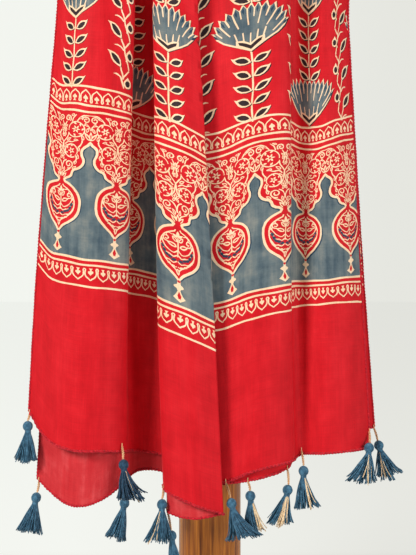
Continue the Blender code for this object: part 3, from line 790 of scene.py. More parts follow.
def pendant_filling(prints, at):
    """The pendant's inside: a three-petalled flower over leaves, and a garland of blue leaves below."""
    for side in (-1, 1):
        turn = np.array([side, 1])

        def half(points):
            return at(np.asarray(points, float) * turn)

        prints.line(CREAM, half(curve(*GARLAND_HIGH, count=12)), 1.0)
        prints.line(CREAM, half(curve(*GARLAND_LOW, count=12)), 1.0)
        for x, y, angle in GARLAND_LEAVES:
            prints.fill(NAVY, half(placed(drop(4.6, 2.7), x - 1.9, y - 1.0, angle)))
        vein = curve((0.4, 82.0), (3.4, 79.2), (6.6, 80.4), (9.4, 82.6), (12.4, 87.4), count=10)
        prints.line(CREAM, half(vein), 0.9)
        for x, y, angle in ((3.4, 66.8, -80), (6.6, 68.0, -62), (9.6, 70.6, -44)):
            prints.fill(CREAM, half(placed(drop(3.2, 1.5), x - 1.4, y - 0.4, angle)))
        prints.line(CREAM, half(spiral(9.4, 91.8, 3.2, 250, 1.25, 16, 0.25)), 1.0, (1.0, 0.7))
        prints.fill(CREAM, half(placed(drop(4.4, 2.1), 12.4, 86.8, -14)))
        hollow_leaf(prints, half, 1.0, 85.2, 8.6, 4.0, -68)
        hollow_leaf(prints, half, 0.8, 90.0, 6.4, 3.2, -38)
        hook = curve((4.6, 96.6), (7.4, 97.6), (9.6, 95.8), (8.6, 93.6), count=7)
        frond = curve((0.4, 66.4), (3.0, 65.4), (5.8, 67.4), (8.4, 68.0), count=8)
        prints.line(CREAM, half(hook), 1.0, (0.5, 0.8))
        prints.line(CREAM, half(frond), 0.9, (1, 0.4))
        prints.fill(CREAM, half(placed(drop(5.0, 2.4), 0.4, 94.4, -52)))
    prints.line(CREAM, at([(0, 76), (0, 84), (0, 94)]), 1.0)
    prints.fill(CREAM, at(placed(drop(6.0, 2.8), 0, 94.6)))
    prints.fill(CREAM, at(placed(drop(6.6, 3.0), 0, 64.4, 180)))
    prints.fill(RED, at(placed(drop(3.4, 1.1), 0, 63.2, 180)))


def finial(prints, at):
    """The drop, bead and stem under a pendant."""
    prints.line(CREAM, at([(0, 55), (0, 52), (0, 49)]), 2.6)
    prints.fill(RED, at([(-1.7, 52.4), (0, 49.8), (1.7, 52.4), (0, 53.4)]))
    prints.fill(CREAM, at(star(0, 46.8, 4.2, 4, 0, 0.62)))
    prints.fill(CREAM, at([(0, 46), (1.5, 42), (3.2, 38.4), (5.3, 36.2), (3.2, 34.6), (0, 32.2), (-3.2, 34.6),
                           (-5.3, 36.2), (-3.2, 38.4), (-1.5, 42)]))
    prints.fill(RED, at([(0, 42.6), (1.7, 38.4), (0.9, 35.4), (-0.9, 35.4), (-1.7, 38.4)]))


def hollow_leaf(prints, half, x, y, length, width, angle):
    """A cream leaf with a red vein of ground inside it."""
    c, s = math.cos(math.radians(angle)), math.sin(math.radians(angle))
    prints.fill(CREAM, half(placed(drop(length, width), x, y, angle)))
    vein = placed(drop(length * 0.60, width * 0.40), x - s * length * 0.17, y + c * length * 0.17, angle)
    prints.fill(RED, half(vein))


# The scrollwork over a pendant, all from the pendant's axis: rings that close round a flower, stems, leaves
SCROLLS = (
    (8.0, 124.4, 4.6, -120, 1, 0), (9.4, 138.6, 6.9, -70, -1, 5), (12.8, 161.0, 8.6, 200, 1, 6),
    (22.6, 171.2, 3.8, 170, -1, 0), (3.9, 171.6, 3.4, -60, 1, 0),
)
STEMS = (
    ((0.4, 111.0), (3.0, 115.6), (6.6, 118.0), (10.0, 119.6)), ((12.4, 126.6), (14.8, 129.4),
    (14.8, 132.4), (13.4, 134.6)),
    ((3.4, 134.4), (1.4, 137.6), (0.6, 142.0), (0.2, 147.0)), ((0.2, 147.0), (2.6, 150.4), (4.8, 153.2),
    (5.4, 157.6)),
    ((15.8, 142.0), (18.4, 145.2), (19.6, 149.4), (18.4, 153.0)), ((20.6, 158.0), (23.8, 155.8),
    (26.6, 152.6)),
    ((20.2, 165.6), (22.6, 166.2), (25.0, 164.4), (26.6, 160.6)), ((2.2, 154.4), (0.9, 160.0),
    (1.2, 165.4), (2.8, 168.6)),
    ((13.6, 169.4), (16.6, 173.0), (20.4, 175.6), (26.6, 176.0)), ((8.4, 168.4), (9.6, 172.4),
    (13.0, 175.8)),
    ((5.4, 128.4), (2.6, 127.0), (0.6, 123.4), (0.2, 118.6)), ((2.0, 144.6), (5.6, 147.4), (9.6, 147.2),
    (13.2, 148.8)),
)
LEAVES = (
    (1.6, 116.2, 5.6, 2.6, -20), (11.8, 119.4, 5.2, 2.4, -52), (13.6, 124.4, 5.0, 2.3, -24),
    (2.6, 128.6, 4.8, 2.3, 34),
    (16.4, 130.6, 5.4, 2.4, 2), (17.0, 138.4, 5.4, 2.4, 4), (1.6, 140.6, 5.0, 2.2, -44),
    (3.4, 148.4, 6.2, 2.8, -62),
    (11.2, 149.6, 5.0, 2.3, -96), (20.6, 150.4, 5.6, 2.6, 16), (22.6, 158.4, 5.8, 2.6, -26),
    (2.6, 158.4, 4.8, 2.2, 10),
    (15.6, 171.8, 4.8, 2.2, -58), (7.2, 174.4, 4.6, 2.2, -72), (23.6, 164.6, 4.4, 2.1, 30),
    (1.4, 152.6, 4.6, 2.1, 24),
)
TULIPS = ((0.0, 108.6, 8.6), (0.0, 131.0, 6.4), (26.65, 150.6, 9.0), (0.0, 160.6, 6.0))


def scrollwork(prints, x, base):
    """The red ground's scrolls, flowers and leaves over one pendant."""
    here = np.array([x, base])
    for side in (-1, 1):
        turn = np.array([side, 1])

        def half(points):
            return np.asarray(points, float) * turn + here

        for points in STEMS:
            prints.line(CREAM, half(curve(*points, count=9)), 1.1, (1.0, 0.6))
        for leaf_x, leaf_y, length, width, angle in LEAVES:
            hollow_leaf(prints, half, leaf_x, leaf_y, length, width, angle + 4 * side)
        for ring_x, ring_y, radius, start, way, petals in SCROLLS:
            turns, inner = (0.94, 0.86) if petals else (1.45, 0.22)
            stem = spiral(ring_x, ring_y, radius, start + 12 * side, way * turns, 26, inner)
            prints.line(CREAM, half(stem), 1.1, (1.0, 0.6))
            if not petals:
                continue
            prints.fill(CREAM, half(star(ring_x, ring_y, radius * 0.50, petals, 90 + 25 * side, 0.30)))
            prints.fill(RED, half(ring(ring_x, ring_y, radius * 0.13, 6)))
            for k in range(petals - 1):
                angle = start + way * (50 + k * 300 / petals) + 20 * side
                around = np.array([math.cos(math.radians(angle)), math.sin(math.radians(angle))])
                foot = np.array([ring_x, ring_y]) + radius * 0.86 * around
                petal = drop(radius * 0.38, radius * 0.20)
                prints.fill(CREAM, half(placed(petal, *foot, angle + 90 + way * 38)))
        for tulip_x, foot, length in TULIPS:
            for angle in (0, -40):
                turned = angle if tulip_x == 0 else -angle
                hollow_leaf(prints, half, tulip_x, foot, length, length * 0.36, turned)


def printed_band(prints, end, base):
    """The band of arches and pendants between its two chains."""
    shadow = np.array(SHADOW[end])
    rule(prints, base + 1.0, 2.0)
    chain(prints, base + 20.6, -1)
    rule(prints, base + 23.0, 2.0)
    for k in range(11):
        scrollwork(prints, AXIS + k * REPEAT, base)
    x = np.linspace(-16, WIDE + 16, 120)
    low = np.stack([x, np.full_like(x, base + 28.5)], axis=1)
    high = np.stack([x[::-1], np.full_like(x, base + 106.0)], axis=1)
    prints.fill(INDIGO, np.concatenate([low, high]))
    rule(prints, base + 28.5, 2.2)
    side = curve(*ARCH_EDGE, count=42)
    edge = np.concatenate([side, mirrored(side[-2::-1])])
    for k in range(-1, 11):
        here = np.array([AXIS + (k + 0.5) * REPEAT, base])
        prints.fill(INDIGO, np.concatenate([edge, [(-24.0, 100), (24.0, 100)]]) + here)
        prints.line(NAVY, beside(edge, 1.7) + here, 1.3)
        prints.line(CREAM, edge + here, 2.4)
    for k in range(11):
        pendant(prints, AXIS + k * REPEAT, base, shadow)
    rule(prints, base + 180.0, 2.0)
    rule(prints, base + 186.5, 2.0)
    chain(prints, base + 188.4, 1)
    rule(prints, base + 205.0, 2.1)


def hand_printed(points, end):
    """The slight wander of hand-cut blocks on cloth, over the print's own sinking across it."""
    seed = 0.0 if end == "left" else 1.9
    sink = table(PRINT_SINK[end], SINK_COLUMNS)
    up = np.clip((points[:, 1] - BAND_FOOT[end]) / FIELD_START, 0, 1)
    foot, top = (through(sink["across"], sink[name], points[:, 0]) for name in ("foot", "top"))
    points = points - np.stack([0 * up, foot + (top - foot) * up], axis=1)
    x, y = points.T
    wide = np.stack([
        0.55 * np.sin(y / 13.0 + 2.1 * np.sin(x / 41 + seed)) + 0.30 * np.sin(x / 7.3 + y / 5.1),
        0.55 * np.sin(x / 15.0 + 1.7 * np.sin(y / 37 + seed)) + 0.30 * np.sin(x / 5.7 - y / 6.3),
    ], axis=1)
    fine = 0.10 * np.stack([np.sin(x * 2.3 + y * 1.7), np.sin(y * 2.6 - x * 1.9)], axis=1)
    return points + wide + fine


PAINTED_BACKLIGHT_FROM = (282.0, 164.0)  # across from here and below here the left end's back layer is coloured a paler red, painted light as if shining through it


def spread(points, end):
    """The band's points moved across from their even places to the printed ones."""
    places = table(BAND_SPREAD[end], SPREAD_COLUMNS)
    return np.stack([through(places["even"], places["printed"], points[:, 0]), points[:, 1]], axis=1)


LONGEST = 5.5  # mm of a shape's edge between points, so that it follows the folds
LONGEST_BEHIND = 9.0
LONGEST_AT_FOLD = 0.9
FOLD_REACH = 4.5  # mm beside the cloth's middle where the shortest edges are used
BEHIND = 292.0  # mm across, from where a mark is on the back layer
FINEST_BEHIND = 4.6  # mm, the smallest mark that the back layer's print keeps
TRUE = 0.10  # mm that a shape's edge may leave its curve
TRUE_BEHIND = 0.40


def thinned(shape, reach):
    """The shape without the points that lie within reach of the straight edge past them."""
    kept = [shape[0]]
    for point, after in zip(shape[1:], np.roll(shape, -2, axis=0)):
        run, step = after - kept[-1], point - kept[-1]
        aside = abs(run[0] * step[1] - run[1] * step[0]) / max(math.hypot(*run), 1e-9)
        if aside > reach:
            kept.append(point)
    return np.array(kept) if len(kept) > 2 else shape


def split_edges(shape, longest_away):
    """The shape with points added along its longer edges."""
    found = []
    for start, end in zip(shape, np.roll(shape, -1, axis=0)):
        low, high = sorted((start[0], end[0]))
        at_fold = high > WIDE / 2 - FOLD_REACH and low < WIDE / 2 + FOLD_REACH
        longest = LONGEST_AT_FOLD if at_fold else longest_away
        count = max(1, math.ceil(math.hypot(*(end - start)) / longest))
        found.extend(start + (end - start) * k / count for k in range(count))
    return np.array(found)


def flat_cloth(end):
    """The flat printed half, as points, triangles and each triangle's ink, or its paler red painted as light
    shining through.
    """
    columns, band = Print(), Print()
    base = BAND_FOOT[end]
    field(columns, end, base)
    printed_band(band, end, base)
    shapes = columns.shapes + [(ink, spread(shape, end)) for ink, shape in band.shapes]
    outline = np.array([(0, 0), (WIDE, 0), (WIDE, HALF), (0, HALF)], float)
    across = np.concatenate([np.linspace(0, 276, 80), np.linspace(277, 283, 9), np.linspace(285, WIDE, 50)])
    along = np.concatenate([[0, 2, 4], np.linspace(8, 560, 50), np.linspace(566, HALF, 90)])
    grid = np.stack(np.meshgrid(across, along, indexing="ij"), axis=2).reshape(-1, 2)
    points, faces, inks = [outline], [[0, 1, 2, 3]], [RED]
    count = 4
    for ink, shape in shapes:
        shape = hand_printed(shape, end)
        low, high = shape.min(axis=0), shape.max(axis=0)
        if high[0] < 0 or low[0] > WIDE or high[1] < 0 or low[1] > HALF:
            continue
        behind = shape[:, 0].mean() > BEHIND
        if behind and max(high - low) < FINEST_BEHIND:
            continue
        shape = thinned(shape, TRUE_BEHIND if behind else TRUE)
        shape = split_edges(shape, LONGEST_BEHIND if behind else LONGEST)
        points.append(shape)
        faces.append(list(range(count, count + len(shape))))
        inks.append(ink)
        count += len(shape)
    boxes = np.array([(*p.min(axis=0), *p.max(axis=0)) for p in points]) + np.array([-0.1, -0.1, 0.1, 0.1])
    points.append(grid)
    flat = [Vector(p) for p in np.concatenate(points)]
    found, _, triangles, _, _, origins = geometry.delaunay_2d_cdt(flat, [], faces, 0, 0.001, True)
    found = np.array([tuple(p) for p in found])
    kept, colours = [], []
    for triangle, origin in zip(triangles, origins):
        if 0 not in origin:
            continue
        x, y = found[triangle].mean(axis=0)
        for shape in sorted(origin, reverse=True):
            left, low, right, high = boxes[shape]
            if left <= x <= right and low <= y <= high:
                break
        kept.append(triangle)
        # Painted light: the left end's back layer below the band is coloured a paler red, as if lit through
        # from behind.
        is_painted_backlight = end == "left" and inks[shape] == RED and x > PAINTED_BACKLIGHT_FROM[0] and y < PAINTED_BACKLIGHT_FROM[1]
        colours.append(PAINTED_BACKLIGHT if is_painted_backlight else inks[shape])
    used, kept = np.unique(np.array(kept), return_inverse=True)
    return found[used], kept.reshape(-1, 3), colours


def mesh_object(name, points, faces, materials, indices=None, normals=None, smooth_faces=True):
    """A mesh object from arrays."""
    mesh = bpy.data.meshes.new(name)
    mesh.from_pydata(np.asarray(points).tolist(), [], [list(map(int, f)) for f in faces])
    for found in materials:
        mesh.materials.append(found)
    if indices is not None:
        mesh.polygons.foreach_set("material_index", np.asarray(indices, np.int32))
    mesh.polygons.foreach_set("use_smooth", np.full(len(mesh.polygons), smooth_faces))
    mesh.update()
    if normals is not None:
        mesh.normals_split_custom_set_from_vertices(np.asarray(normals).tolist())
    piece = bpy.data.objects.new(name, mesh)
    bpy.context.scene.collection.objects.link(piece)
    return piece


def make_cloth(half, inks):
    """One printed half of the stole, with its flat coordinates as its UV map."""
    flat, triangles, colours = flat_cloth(half.end)
    points, normals = half.read(flat[:, 0], flat[:, 1])
    faces = np.array(triangles)
    if half.end == "right":
        faces = faces[:, ::-1]
    piece = mesh_object("stole_" + half.end, points, faces, inks, colours, normals)
    layer = piece.data.uv_layers.new(name="flat_cloth")
    corners = np.zeros(len(piece.data.loops), np.int32)
    piece.data.loops.foreach_get("vertex_index", corners)
    layer.data.foreach_set("uv", (flat[corners] / 1000).astype(np.float32).ravel())
    return piece


def tube(points, radii, sides=6, closed=False, squash=None):
    """Points and faces of a tube along a line; squash is not used."""
    points = np.asarray(points, float)
    ahead = np.gradient(points, axis=0)
    ahead /= np.maximum(np.linalg.norm(ahead, axis=1, keepdims=True), 1e-9)
    side = np.cross(ahead, np.array([0.31, 0.22, 0.93]))
    side /= np.maximum(np.linalg.norm(side, axis=1, keepdims=True), 1e-9)
    over = np.cross(side, ahead)
    angle = np.linspace(0, 2 * math.pi, sides, endpoint=False)
    radii = np.broadcast_to(np.asarray(radii, float), (len(points),))
    rings = (
        points[:, None]
        + side[:, None] * (np.cos(angle) * radii[:, None])[..., None]
        + over[:, None] * (np.sin(angle) * radii[:, None])[..., None]
    )
    count = len(points)
    faces = []
    for i in range(count - 1):
        for k in range(sides):
            a, b = i * sides + k, i * sides + (k + 1) % sides
            faces.append((a, b, b + sides, a + sides))
    faces.append(tuple(range(sides))[::-1])
    faces.append(tuple((count - 1) * sides + k for k in range(sides)))
    return rings.reshape(-1, 3), faces


class Joined:
    """Many small shapes gathered into one mesh."""

    def __init__(self):
        self.points, self.faces, self.indices = [], [], []
        self.count = 0

    def add(self, points, faces, index=0):
        self.points.append(np.asarray(points, float))
        self.faces.extend(tuple(v + self.count for v in face) for face in faces)
        self.indices.extend([index] * len(faces))
        self.count += len(points)

    def make(self, name, materials):
        return mesh_object(name, np.concatenate(self.points), self.faces, materials, self.indices)


HEM_RADIUS = 0.00125
SELVEDGE_RADIUS = 0.00105
OVERLOCK_PITCH = 3.4  # mm between the stitches of the overlocked edges
EDGE_SIDES = 10


def rolled(points, run, radius):
    """Points and faces of an edge rolled under slanting stitches."""
    rings, faces = tube(points, radius, EDGE_SIDES)
    rings = rings.reshape(len(points), EDGE_SIDES, 3)
    angle = np.linspace(0, 2 * math.pi, EDGE_SIDES, endpoint=False)
    stitch = np.cos(angle[None] - 2 * math.pi * run[:, None] / OVERLOCK_PITCH)
    swell = 1 + 0.26 * stitch + 0.10 * np.sin(run / 9.0)[:, None] + 0.06 * np.sin(run / 3.1)[:, None]
    return (points[:, None] + (rings - points[:, None]) * swell[..., None]).reshape(-1, 3), faces


def make_edges(half, thread):
    """The rolled and overlocked edges of one half: its hem and its two selvedges."""
    edges = Joined()
    across = np.arange(0, WIDE, 0.6)
    along = np.arange(0, HALF, 0.75)
    routes = (
        (across, np.zeros_like(across), HEM_RADIUS), (np.zeros_like(along), along, SELVEDGE_RADIUS),
        (np.full_like(along, WIDE), along, SELVEDGE_RADIUS),
    )
    for u, v, radius in routes:
        points, _ = half.read(u, v)
        run = np.concatenate([[0], np.cumsum(np.hypot(np.diff(u), np.diff(v)))])
        edges.add(*rolled(points, run, radius))
    return edges.make("edges_" + half.end, [thread])


def leaning(left, forward):
    return Matrix.Rotation(math.radians(left), 3, "Y") @ Matrix.Rotation(math.radians(-forward), 3, "X")


def tie_top(cloth, row, width):
    """Where a tie starts: just under the hem's edge, or on the front of the cloth above it."""
    if row["raised"]:
        clear = SHEET / 2 + SEAT_GAP + TIE_RADIUS
        return Vector(cloth.front_point(row["end"], width, row["raised"] / 1000, clear))
    here = Vector(cloth.hem_point(row["end"], width))
    beside = (Vector(cloth.hem_point(row["end"], width + step)) - here for step in (-EDGE_STEP, EDGE_STEP))
    slope = max(abs(edge.z) / edge.xy.length for edge in beside)
    return here - Vector((0, 0, SEAT_GAP + TIE_RADIUS * slope))


TIE_TURN = 0.0042  # length of one turn of a tie's twist
PLY_RADIUS = 0.00062


def make_tie(name, top, bottom, cord):
    """A tie's two twisted plies, from the hem down to the tassel's head, with a short stub at its top."""
    tie = Joined()
    line = np.linspace(0, 1, 26)
    start, end = np.array(top), np.array(bottom)
    route = start + (end - start) * line[:, None]
    route[:, 0] += 0.0005 * np.sin(line * math.pi)
    length = np.linalg.norm(end - start)
    axis = (end - start) / length
    side = np.cross(axis, (0.0, 1.0, 0.0))
    side /= np.linalg.norm(side)
    over = np.cross(axis, side)
    for ply in (0, math.pi):
        angle = ply + line * length / TIE_TURN * 2 * math.pi
        reach = 0.00052 + 0.0003 * np.sin(line * math.pi)
        path = route + side * (np.cos(angle) * reach)[:, None] + over * (np.sin(angle) * reach)[:, None]
        tie.add(*tube(path, PLY_RADIUS, 6))
    stub = start + np.array([over * 0.0004, (0, -0.0012, 0.0014), (0, -0.0004, 0.0040)])
    tie.add(*tube(through([0, 1, 2], stub, np.linspace(0, 2, 8)), np.linspace(0.0007, 0.0004, 8), 6))
    return tie.make(name + "_tie_cord", [cord])


STRANDS = 130
LOCKS = 9
STRAND_STEPS = 8
# How each tassel looks, in the order of the tassels: cream strands, the side they are on in degrees (0 right,
# 270 front), and how far its foot is swept right and flicked out, in millimetres
LOOK_COLUMNS = ("cream", "cream_side", "swept", "flicked")
TASSEL_LOOKS = (
    (0, 0, -2, 2), (1, 300, 5, 6), (2, 250, -4, 3), (0, 0, -3, 4), (0, 0, -3, 3), (3, 20, 3, 2),
    (4, 280, -3, 4), (7, 300, 3, 4), (0, 0, 8, 7), (4, 250, 3, 5), (34, 280, -3, 5), (12, 320, 1, 2),
)


def tassel_head(tassel):
    """The bound head, ribbed by the yarn over it, and the thread wound round its neck."""
    rings, sides = 15, 36
    level = np.linspace(0.02, 0.93, rings) * math.pi
    turn = np.linspace(0, 2 * math.pi, sides, endpoint=False)
    ribbed = 1 + 0.06 * np.cos(turn * 12)[None] * np.sin(level)[:, None]
    reach = TASSEL_HEAD * 1.03 * np.sin(level)[:, None] * ribbed
    head = np.stack([
        reach * np.cos(turn + 0.25 * level[:, None]),
        reach * np.sin(turn + 0.25 * level[:, None]),
        np.broadcast_to(TASSEL_HEAD * HEAD_STRETCH * np.cos(level)[:, None], reach.shape),
    ], axis=2).reshape(-1, 3)
    faces = [
        (i * sides + k, (i + 1) * sides + k, (i + 1) * sides + (k + 1) % sides, i * sides + (k + 1) % sides)
        for i in range(rings - 1)
        for k in range(sides)
    ]
    faces.append(tuple(range(sides)))
    tassel.add(head, faces)
    wrap = np.linspace(0, 4.2 * 2 * math.pi, 90)
    coil = np.stack([
        0.0027 * np.cos(wrap), 0.0027 * np.sin(wrap), -0.0042 - 0.0007 * wrap / (2 * math.pi),
    ], axis=1)
    tassel.add(*tube(coil, 0.00052, 5))


def make_tassel(name, row, look, bottom, yarn, pale, seed):
    """A bound head over a skirt of yarn that falls in uneven, flicked locks, some of its strands cream."""
    rng = np.random.default_rng(seed)
    tassel = Joined()
    tassel_head(tassel)
    locks = np.linspace(0, 2 * math.pi, LOCKS, endpoint=False) + rng.normal(0, 0.22, LOCKS)
    lock_length = rng.uniform(0.84, 1.04, LOCKS)
    lean = rng.normal(0, 0.18, (LOCKS, 2))
    flick = rng.uniform(0.1, 1.0, LOCKS) * look["flicked"] / 1000
    cream_side = math.radians(look["cream_side"])
    share = np.linspace(0, 1, STRAND_STEPS)
    for i in range(STRANDS):
        lock = i % LOCKS
        cream = i < look["cream"]
        direction = cream_side + rng.normal(0, 0.20) if cream else locks[lock] + rng.normal(0, 0.26)
        ring = rng.uniform(0.85, 1.0) if cream else rng.uniform(0.06, 1.0) ** 0.5
        length = SKIRT_LENGTH * lock_length[lock] * rng.uniform(0.95, 1.01)
        belly = 0.0022 * np.sin(np.clip(share * 1.6, 0, 1) * math.pi / 2) * ring
        out = 0.0018 * ring + belly + row["spread"] * SKIRT_REACH * 0.82 * ring * share**1.05
        out = out + flick[lock] * ring * share**4
        wave = 0.0007 * np.sin(share * rng.uniform(2, 6) + rng.uniform(0, 6)) * share
        sideways = look["swept"] / 1000 * share**1.6 + lean[lock, 0] * share**2 * 0.012 + wave
        flatness = SKIRT_FLATNESS + 0.45 * (1 - share)
        path = np.stack([
            np.cos(direction) * out + sideways,
            np.sin(direction) * out * flatness + lean[lock, 1] * share**2 * 0.008,
            -0.0050 - length * share + 0.0012 * rng.uniform(0, 1) + flick[lock] * 0.45 * share**4,
        ], axis=1)
        tassel.add(*tube(path, 0.00058 * np.linspace(1, 0.86, STRAND_STEPS), 4), 1 if cream else 0)
    piece = tassel.make(name + "_yarn", [yarn, pale])
    hang = leaning(row["left"], row["forward"])
    centre = bottom + hang @ Vector((0, 0, -1)) * (SEAT_GAP + TASSEL_HEAD * HEAD_STRETCH)
    piece.data.transform(Matrix.Translation(centre) @ hang.to_4x4())
    return piece


class Shader:
    """A material's nodes, written as calls."""

    def __init__(self, name, roughness, metallic=0.0):
        self.material = bpy.data.materials.new(name)
        self.material.use_nodes = True
        self.tree = self.material.node_tree
        self.surface = self.tree.nodes["Principled BSDF"]
        self.surface.inputs["Roughness"].default_value = roughness
        self.surface.inputs["Metallic"].default_value = metallic

    def node(self, kind, **settings):
        found = self.tree.nodes.new(kind)
        for key, value in settings.items():
            setattr(found, key, value)
        return found

    def set(self, node, **inputs):
        for key, value in inputs.items():
            socket = node.inputs[key.replace("_", " ")] if isinstance(key, str) else node.inputs[key]
            if isinstance(value, bpy.types.NodeSocket):
                self.tree.links.new(value, socket)
            else:
                socket.default_value = value
        return node

    def coordinates(self, kind, scale=(1, 1, 1)):
        """Scaled coordinates: the cloth's flat ones or the object's own."""
        source = self.node("ShaderNodeTexCoord").outputs[kind]
        mapping = self.node("ShaderNodeMapping")
        self.set(mapping, Vector=source, Scale=scale)
        return mapping.outputs["Vector"]

    def noise(self, vector, scale, detail=3.0, roughness=0.5):
        return self.set(self.node("ShaderNodeTexNoise"), Vector=vector, Scale=scale, Detail=detail,
                        Roughness=roughness).outputs["Fac"]

    def ramp(self, factor, stops):
        """Colours by factor, from a list of position and colour."""
        found = self.node("ShaderNodeValToRGB")
        elements = found.color_ramp.elements
        while len(elements) < len(stops):
            elements.new(0.5)
        for element, (position, colour) in zip(elements, stops):
            element.position = position
            element.color = colour
        self.set(found, Fac=factor)
        return found.outputs["Color"]

    def mix(self, factor, first, second, kind="MIX"):
        found = self.node("ShaderNodeMix", data_type="RGBA", blend_type=kind)
        sockets = (found.inputs["Factor"], found.inputs[6], found.inputs[7])
        for socket, value in zip(sockets, (factor, first, second)):
            if isinstance(value, bpy.types.NodeSocket):
                self.tree.links.new(value, socket)
            else:
                socket.default_value = value
        return found.outputs[2]

    def maths(self, operation, *values):
        found = self.node("ShaderNodeMath", operation=operation)
        for socket, value in zip(found.inputs, values):
            if isinstance(value, bpy.types.NodeSocket):
                self.tree.links.new(value, socket)
            else:
                socket.default_value = value
        return found.outputs["Value"]

    def bump(self, height, strength, distance):
        found = self.set(self.node("ShaderNodeBump"), Height=height, Strength=strength, Distance=distance)
        self.set(self.surface, Normal=found.outputs["Normal"])


def cloth_material(name, colour, deep, pale, mottle):
    """Printed cotton: the dye's uneven take-up, a fine plain weave with slubs, and its bump."""
    shader = Shader(name, 0.62)
    flat = shader.coordinates("UV")
    cloud = shader.noise(flat, 38.0, 5.0, 0.62)
    streak = shader.noise(shader.coordinates("UV", (95.0, 8.0, 1.0)), 1.0, 4.0, 0.6)
    patches = shader.maths("MULTIPLY", cloud, 0.55)
    uneven = shader.maths("ADD", patches, shader.maths("MULTIPLY", streak, 0.45))
    take = shader.ramp(uneven, [(0.36, deep), (0.50, colour), (0.64, pale)])
    even = shader.mix(mottle, colour, take)
    slub_across = shader.noise(shader.coordinates("UV", (28.0, 1500.0, 1.0)), 1.0, 2.0)
    slub_along = shader.noise(shader.coordinates("UV", (1500.0, 28.0, 1.0)), 1.0, 2.0)
    slubs = shader.maths("MULTIPLY", shader.maths("ADD", slub_across, slub_along), 0.5)
    threads = shader.ramp(slubs, [(0.38, (0.76, 0.76, 0.76, 1)), (0.60, (1.0, 1.0, 1.0, 1))])
    shader.set(shader.surface, Base_Color=shader.mix(0.55, even, threads, "MULTIPLY"))
    warp = shader.node("ShaderNodeTexWave", wave_type="BANDS", bands_direction="X")
    weft = shader.node("ShaderNodeTexWave", wave_type="BANDS", bands_direction="Y")
    for wave in (warp, weft):
        shader.set(wave, Vector=shader.coordinates("UV"), Scale=290.0, Distortion=0.6, Detail=1.0)
    weave = shader.maths("MAXIMUM", warp.outputs["Fac"], weft.outputs["Fac"])
    crease = shader.noise(shader.coordinates("UV", (75.0, 22.0, 1.0)), 1.0, 4.0, 0.55)
    height = shader.maths("ADD", shader.maths("MULTIPLY", weave, 0.05), crease)
    shader.bump(height, 0.35, 0.0016)
    shader.surface.inputs["Sheen Weight"].default_value = 0.04
    shader.surface.inputs["Sheen Roughness"].default_value = 0.45
    shader.surface.inputs["Specular IOR Level"].default_value = 0.14
    return shader.material


def yarn_material(name, colour, deep, pale, scale):
    """Soft cotton yarn: its plies and strand-to-strand shade."""
    shader = Shader(name, 0.82)
    place = shader.coordinates("Object")
    shade = shader.noise(place, scale, 3.0, 0.6)
    shader.set(shader.surface, Base_Color=shader.ramp(shade, [(0.30, deep), (0.50, colour), (0.68, pale)]))
    ply = shader.node("ShaderNodeTexWave", wave_type="BANDS", bands_direction="DIAGONAL")
    shader.set(ply, Vector=shader.coordinates("Object"), Scale=420.0, Distortion=1.5, Detail=1.0)
    shader.bump(ply.outputs["Fac"], 0.6, 0.0004)
    shader.surface.inputs["Sheen Weight"].default_value = 0.10
    shader.surface.inputs["Specular IOR Level"].default_value = 0.2
    return shader.material


def wood_material(name, stretch):
    """Oiled hardwood whose grain runs along the axis with the smallest stretch."""
    shader = Shader(name, 0.42)
    grain = shader.coordinates("Object", stretch)
    streaks = shader.noise(grain, 1.0, 6.0, 0.62)
    colour = shader.ramp(streaks, [
        (0.28, (0.100, 0.022, 0.002, 1)), (0.44, (0.31, 0.088, 0.008, 1)), (0.58, (0.53, 0.185, 0.020, 1)),
        (0.78, (0.68, 0.290, 0.042, 1)),
    ])
    pores = shader.noise(shader.coordinates("Object", tuple(s * 6 for s in stretch)), 1.0, 2.0)
    fine = shader.ramp(pores, [(0.38, (0.55, 0.55, 0.55, 1)), (0.50, (1, 1, 1, 1))])
    shader.set(shader.surface, Base_Color=shader.mix(0.7, colour, fine, "MULTIPLY"))
    rough = shader.maths("MULTIPLY_ADD", streaks, 0.25, 0.30)
    shader.set(shader.surface, Roughness=rough)
    shader.bump(shader.maths("ADD", streaks, pores), 0.25, 0.0006)
    shader.surface.inputs["Specular IOR Level"].default_value = 0.3
    shader.surface.inputs["Coat Weight"].default_value = 0.08
    shader.surface.inputs["Coat Roughness"].default_value = 0.3
    return shader.material


def make_camera():
    """The photograph's view: level, from in front of the hanging ends."""
    data = bpy.data.cameras.new("camera")
    data.lens = 57.2
    data.sensor_width = 36.0
    data.clip_start = 0.05
    camera = bpy.data.objects.new("camera", data)
    camera.location = (-0.002, -0.975, 0.412)
    camera.rotation_euler = (math.pi / 2, 0, 0)
    bpy.context.scene.collection.objects.link(camera)
    bpy.context.scene.camera = camera


def area_light(name, place, aim, size, power, colour=(1, 1, 1)):
    data = bpy.data.lights.new(name, "AREA")
    data.shape = "RECTANGLE"
    data.size, data.size_y = size
    data.energy = power
    data.color = colour
    light = bpy.data.objects.new(name, data)
    light.location = place
    light.rotation_euler = (Vector(aim) - Vector(place)).to_track_quat("-Z", "Y").to_euler()
    bpy.context.scene.collection.objects.link(light)


WALL_LEFT = (0.895, 0.915, 0.865, 1)
WALL_RIGHT = (0.790, 0.795, 0.745, 1)
WALL_TURN = (-0.16, 0.20)  # sideways slope of the view at which the wall's left and right tones are reached
VIEW_BACK = 0.975  # how far in front of the stand's axis the slope is taken from
ROOM = (0.21, 0.215, 0.215, 1)
WALL_FOOT = 0.36  # how far behind the stand's axis the floor has fully taken the wall's tone, by a painted glow over a dark base
FLOOR_GLOW = 0.91
FLOOR_REACH = 14.0


